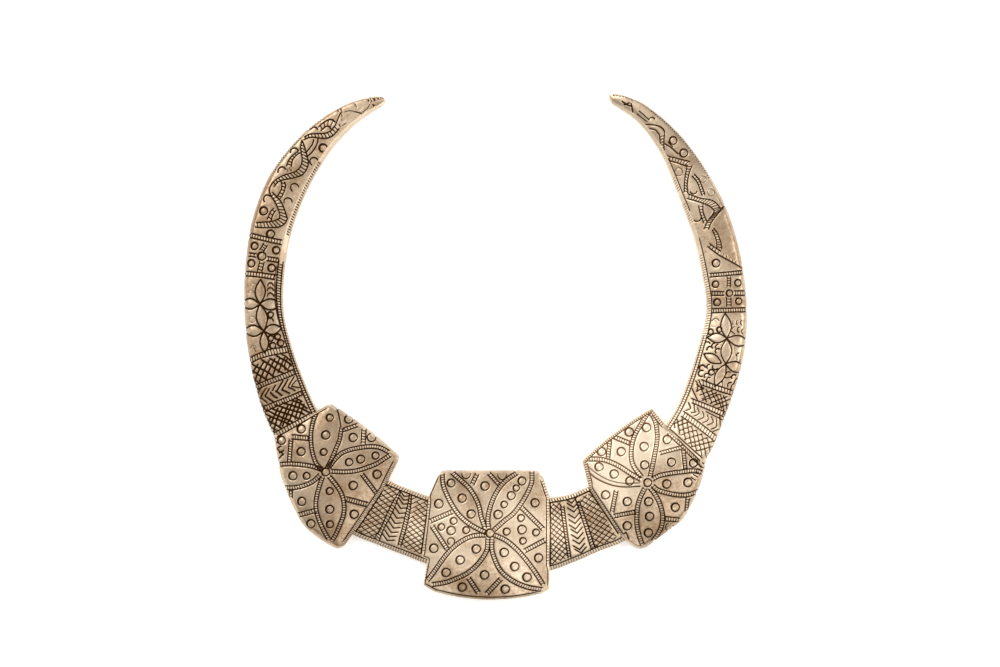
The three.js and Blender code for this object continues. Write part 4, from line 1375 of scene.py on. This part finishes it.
# direction in degrees, length in millimetres and phase of each wave of dents
DENT_WAVES = ((12, 15.0, 0.4), (74, 11.3, 2.1), (131, 8.7, 4.0), (163, 6.1, 5.2))
DENT_TOTAL = 40  # about the sum of their lengths, so that the swell stays near 1 at most


def dome_lift(plan, chart):
    """Rings and leaves stand up a little inside their outlines."""
    lift = np.zeros(len(plan))
    for x, y, radius in chart.get("rings", []):
        gap = np.hypot(plan[:, 0] - x, plan[:, 1] - y) / radius
        lift += RING_DOME * np.clip(1 - gap**2, 0, 1)
    for base, tip, width in chart.get("leaves", []):
        base, run = np.array(base), np.array(tip) - np.array(base)
        length = np.linalg.norm(run)
        t = (plan - base) @ run / length**2
        off = np.abs((plan - base) @ np.array([-run[1], run[0]])) / length
        room = width / 2 * np.sin(math.pi * np.clip(t, 0, 1))
        round_top = np.clip(1 - (off / np.maximum(room, NARROW)) ** 2, 0, 1)
        lift += LEAF_DOME * round_top * smooth(room / LEAF_ROOM)
    return lift


def hammered(plan):
    """Slow dents that planishing leaves in sheet, as crossed waves of uneven length."""
    swell = np.zeros(len(plan))
    for turn, length, phase in DENT_WAVES:
        way = np.array([math.cos(math.radians(turn)), math.sin(math.radians(turn))])
        swell += np.sin(plan @ way * 2 * math.pi / length + phase) * length
    return swell / DENT_TOTAL


# %% Engrave the sheets
GROOVE_DEPTH = 0.22
GROOVE_SLOPE = 0.26  # width of the valley's side
DRAWN_DEPTH = 0.05  # how far the metal round a mark is drawn down
DRAWN_REACH = 0.6
DENT_DEPTH = 0.06
FOOT_FADE = 0.5  # no mark is darkened below this height, and each is fully from twice as high
WALL_FADE = 0.9  # height over which the marks of a wall reach their full depth
LOW_EDGE = 4.0  # below this height a blow on a rolled edge bites deeper,
NOTCHED = 2.0  # by this share, and notches the outline
NOTCH_FADE = 1.5  # and that sets in over this height
BEAD_SHINE = 0.32  # how bright the raised cells between the rungs are rubbed
WALL_PAINTED_LIGHT = 0.55  # painted light that brightens the walls, which stand in shade


def engrave(piece, chart):
    """Sinks the marks into a sheet and notes how near each corner is to a cut, and its tarnish,
    rubbing, painted shade and painted light.
    """
    mesh = piece.data
    count = len(mesh.vertices)
    spots, normals = np.empty(count * 3, np.float32), np.empty(count * 3, np.float32)
    mesh.vertices.foreach_get("co", spots)
    mesh.vertices.foreach_get("normal", normals)
    spots, normals = spots.reshape(-1, 3).astype(float) / MM, normals.reshape(-1, 3)
    notes = {}
    for name in ("wall", "tick", "crease"):
        notes[name] = np.empty(count, np.float32)
        mesh.attributes[name].data.foreach_get("value", notes[name])
        mesh.attributes.remove(mesh.attributes[name])
    plan, height = spots[:, :2], spots[:, 2]
    on_wall = notes["wall"] > 0.5
    gap = np.where(on_wall, notes["tick"], distance_to(cuts, CUT_TABLE, plan))
    gap = np.minimum(gap, notes["crease"])
    # low on a rolled edge a mark is cut down to the foot, though the dirt in it fades out
    edge = np.where(on_wall, FAR, gap)
    gap = gap + (1 - smooth((height - FOOT_FADE) / FOOT_FADE)) * FAR
    edge = np.where(height < LOW_EDGE, edge, gap)
    sink = GROOVE_DEPTH * smooth((GROOVE_SLOPE / 2 - np.minimum(gap, edge)) / GROOVE_SLOPE)
    sink = sink + DRAWN_DEPTH * np.exp(-np.maximum(gap, 0) / DRAWN_REACH)
    sink = sink * (1 + NOTCHED * smooth((LOW_EDGE - height) / NOTCH_FADE))
    lift = dome_lift(plan, chart) + DENT_DEPTH * hammered(plan)
    rise = smooth((height - BAND_LIFT) / WALL_FADE)
    move = lift * rise - sink * np.where(on_wall, rise, 1)
    normals[:, 2] = np.maximum(normals[:, 2], 0)  # the flat back stays flat
    spots = spots + normals * move[:, None] - PLAN_MIDDLE
    mesh.vertices.foreach_set("co", (spots * MM).astype(np.float32).ravel())
    stain_and_painted_light = np.where(distance_to(beads, BEAD_TABLE, plan) < 0, -BEAD_SHINE, 0.0)
    # the walls are painted lighter: painted light on walls that stand in shade
    stain_and_painted_light = np.where(on_wall, -WALL_PAINTED_LIGHT, stain_and_painted_light) * (gap > 0)
    # charted patches: above zero partly tarnish and partly painted shade, below zero partly rubbed
    # silver and partly painted highlight
    for x, y, radius, strength in chart.get("stains_and_painted_light", []):
        far = np.hypot(plan[:, 0] - x, plan[:, 1] - y) / radius
        stain_and_painted_light = stain_and_painted_light + strength * smooth(1 - far)
    for name, values in (("cut_gap", gap), ("stain_and_painted_light", stain_and_painted_light)):
        attribute = mesh.attributes.new(name, "FLOAT", "POINT")
        attribute.data.foreach_set("value", values.astype(np.float32))
    mesh.update()
    print(piece.name, "is engraved:", round(float((gap < 0).mean()) * 100), "% of it is cut")


for name, chart in CHARTS.items():
    engrave(pieces[name], chart)

# %% [markdown]
# ## The silver
# Low-grade silver holds a good deal of copper, so it is warmer than fine silver and
# tarnishes brown. Where hands and cloth rub it, it stays a pale satin. Painted highlights
# lighten it where the light fell brightest, painted light lightens the shaded walls, and
# painted shade darkens some patches. Dirt and tarnish stay in the cuts, almost black-brown,
# and spread a little haze round them, and at the foot of the walls and on one side of each
# ring a dark cut paints the shade there.

# %% Colours and nodes
def linear(colour):
    """An sRGB hex colour as the linear numbers that the shader wants."""
    parts = [int(colour[i:i + 2], 16) / 255 for i in (1, 3, 5)]
    return (*[c / 12.92 if c <= 0.04045 else ((c + 0.055) / 1.055) ** 2.4 for c in parts], 1.0)


def add_node(tree, kind, settings=None, inputs=None):
    """Adds one node, sets its properties, and fills or links its inputs."""
    node = tree.nodes.new(kind)
    for key, value in (settings or {}).items():
        setattr(node, key, value)
    for key, value in (inputs or {}).items():
        if isinstance(value, bpy.types.NodeSocket):
            tree.links.new(value, node.inputs[key])
        else:
            node.inputs[key].default_value = value
    return node


# %% Aged low-grade silver, planished, chased and rubbed, with painted highlights and shade
PER_MM = 1 / MM  # noise scales are counted in patches per metre
RUBBED_SILVER = linear("#DCC7AC")
BROWN_TARNISH = linear("#B29271")
OLD_STAIN = linear("#6C5032")
# pale rubbed silver, partly a painted highlight where the light fell brightest
POLISHED_AND_HIGHLIT = linear("#FFEBD0")
CUT_SULPHIDE = linear("#3E2409")
# cuts lightened where rubbed, partly a painted highlight washing over them
WORN_AND_HIGHLIT_CUT = linear("#87633E")
CUT_ROUGHNESS = 0.8  # dirt in the cuts is dull
PIT_STRENGTH = 0.25
PIT_DEPTH = 0.05  # of the fine pits and rubbed scratches
# clouds of tarnish: how many millimetres across, and how much finer detail they hold
CLOUDS = (
    ("patches", 11, 3),
    ("mottle", 1.1, 4),
    ("grain", 0.35, 2),
)
# each share goes from one value to another while what it reads goes from low to high:
# its name, what it reads, low, high, and the two values
SHARES = (
    ("tarnish", "cloud", 0.75, 1.35, 0.0, 1.0),
    # the polishing share: partly rubbed silver, partly painted highlight, and painted light on the
    # walls
    ("polish_and_highlight", "stain_and_painted_light", 0.0, -1.0, 0.0, 1.0),
    ("haze", "cut_gap", 0.25, 0.0, 0.0, 0.2),
    # cuts turn lighter where that share is strong: partly worn, partly painted highlight
    ("cut_wear_and_highlight", "stain_and_painted_light", -0.1, -0.9, 0.0, 1.0),
    ("cut", "cut_gap", 0.1, -0.06, 0.0, 1.0),
    ("satin", "mottle", 0.3, 0.7, 0.38, 0.48),
)
# coats of colour: the name, the share by which it is covered, what lies under and over
COATS = (
    ("metal", "tarnish", RUBBED_SILVER, BROWN_TARNISH),
    # the second coat lightens the silver: partly rubbing, partly painted highlight
    ("polished_and_highlit", "polish_and_highlight", "metal", POLISHED_AND_HIGHLIT),
    # the third coat darkens it: partly tarnish, partly painted shade
    ("stained_and_shaded", "stain_and_painted_light", "polished_and_highlit", OLD_STAIN),
    ("hazed", "haze", "stained_and_shaded", OLD_STAIN),
    ("filled", "cut_wear_and_highlight", CUT_SULPHIDE, WORN_AND_HIGHLIT_CUT),
    ("skin", "cut", "hazed", "filled"),
)


def make_silver():
    """Warm satin metal with brown clouds, pale where it is rubbed and where a highlight is painted,
    darker where shade is painted, and dark in the cuts.
    """
    material = bpy.data.materials.new("aged_silver_planished_and_chased")
    material.use_nodes = True
    tree = material.node_tree
    shader = tree.nodes["Principled BSDF"]
    shader.inputs["Metallic"].default_value = 1.0
    place = add_node(tree, "ShaderNodeTexCoord").outputs["Object"]
    made = {}
    for name in ("cut_gap", "stain_and_painted_light"):
        node = add_node(tree, "ShaderNodeAttribute", {"attribute_name": name})
        made[name] = node.outputs["Fac"]
    for name, size, detail in CLOUDS:
        inputs = {"Vector": place, "Scale": PER_MM / size, "Detail": detail, "Roughness": 0.6}
        made[name] = add_node(tree, "ShaderNodeTexNoise", inputs=inputs).outputs["Fac"]
    inputs = {0: made["patches"], 1: made["mottle"]}
    made["cloud"] = add_node(tree, "ShaderNodeMath", {"operation": "ADD"}, inputs).outputs[0]
    for name, value, low, high, start, end in SHARES:
        eased = {"interpolation_type": "SMOOTHSTEP"}
        inputs = {"Value": made[value], 1: low, 2: high, 3: start, 4: end}
        made[name] = add_node(tree, "ShaderNodeMapRange", eased, inputs).outputs[0]
    for name, share, under, over in COATS:
        inputs = {0: made[share], 6: made.get(under, under), 7: made.get(over, over)}
        made[name] = add_node(tree, "ShaderNodeMix", {"data_type": "RGBA"}, inputs).outputs[2]
    tree.links.new(made["skin"], shader.inputs["Base Color"])
    inputs = {0: made["cut"], 2: made["satin"], 3: CUT_ROUGHNESS}
    rough = add_node(tree, "ShaderNodeMix", {"data_type": "FLOAT"}, inputs)
    tree.links.new(rough.outputs[0], shader.inputs["Roughness"])
    inputs = {"Strength": PIT_STRENGTH, "Distance": PIT_DEPTH * MM, "Height": made["grain"]}
    pits = add_node(tree, "ShaderNodeBump", inputs=inputs)
    tree.links.new(pits.outputs[0], shader.inputs["Normal"])
    return material


silver = make_silver()
for piece in pieces.values():
    piece.data.materials.append(silver)
print("the silver is made of", len(silver.node_tree.nodes), "nodes")

# %% [markdown]
# ## Riding on the frame
# The torc is rigid, so every sheet rides on the one body, and stands for the one solid.

# %% Tie the sheets to the frame
for piece in pieces.values():
    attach(piece, "root")
    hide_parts("torc_body")
print(len(pieces), "sheets ride on the root")

# %% [markdown]
# ## Floor, light and camera
# A pale floor takes the torc's soft shadow. Light comes from the whole pale room, and from
# four soft panels, the strongest of them at the upper left. The camera looks straight down.

# %% The floor
FLOOR_SIZE = 0.7  # metres
FLOOR_GAP = 0.05  # millimetres from the floor to the back of the torc
FLOOR_GLOW = 0.35
bm = bmesh.new()
bmesh.ops.create_grid(bm, x_segments=1, y_segments=1, size=FLOOR_SIZE / 2)
floor_mesh = bpy.data.meshes.new("floor")
bm.to_mesh(floor_mesh)
bm.free()
floor = bpy.data.objects.new("floor", floor_mesh)
bpy.context.scene.collection.objects.link(floor)
# matt acrylic sheet, lit from behind: an even white with no reflections
acrylic = bpy.data.materials.new("white_acrylic_lit_from_behind")
acrylic.use_nodes = True
acrylic_shader = acrylic.node_tree.nodes["Principled BSDF"]
acrylic_shader.inputs["Base Color"].default_value = linear("#F7F7F5")
acrylic_shader.inputs["Roughness"].default_value = 0.9
acrylic_shader.inputs["Emission Color"].default_value = linear("#FFFFFF")
acrylic_shader.inputs["Emission Strength"].default_value = FLOOR_GLOW
floor_mesh.materials.append(acrylic)
floor.location.z = -FLOOR_GAP * MM
print("the floor is", FLOOR_SIZE, "m wide")

# %% The light
ROOM_LIGHT = 0.35
# where each panel is, its width, both in metres, and its power in watts
PANELS = {
    "key_panel": ((-0.4, 0.45, 0.75), 0.6, 5.0),
    "right_panel": ((0.7, 0.0, 0.6), 0.5, 3.0),
    "front_panel": ((0.1, -0.42, 0.9), 0.5, 1.8),
    "left_panel": ((-0.85, -0.1, 0.4), 0.4, 0.9),
}
world = bpy.data.worlds.new("pale_room")
bpy.context.scene.world = world
world.use_nodes = True
world.node_tree.nodes["Background"].inputs["Color"].default_value = linear("#FFFFFF")
world.node_tree.nodes["Background"].inputs["Strength"].default_value = ROOM_LIGHT
for name, (place, width, watts) in PANELS.items():
    light = bpy.data.lights.new(name, "AREA")
    light.size = width
    light.energy = watts
    panel = bpy.data.objects.new(name, light)
    panel.location = place
    # it faces the middle of the torc
    panel.rotation_euler = (-panel.location).to_track_quat("-Z", "Y").to_euler()
    bpy.context.scene.collection.objects.link(panel)
print("lit by", len(PANELS), "panels")

# %% The camera
LENS = 100.0
SENSOR = 36.0
VIEW_WIDTH = 400.0  # millimetres across the picture, at the height of the torc's back
VIEW_MIDDLE = (1.79, 5.14)
camera_data = bpy.data.cameras.new("camera")
camera_data.lens = LENS
camera_data.sensor_width = SENSOR
camera = bpy.data.objects.new("camera", camera_data)
distance = VIEW_WIDTH * LENS / SENSOR
camera.location = (VIEW_MIDDLE[0] * MM, VIEW_MIDDLE[1] * MM, distance * MM)
bpy.context.scene.collection.objects.link(camera)
bpy.context.scene.camera = camera
bpy.context.scene.view_settings.view_transform = "Standard"
print("the camera is", round(distance), "mm above the torc's back")
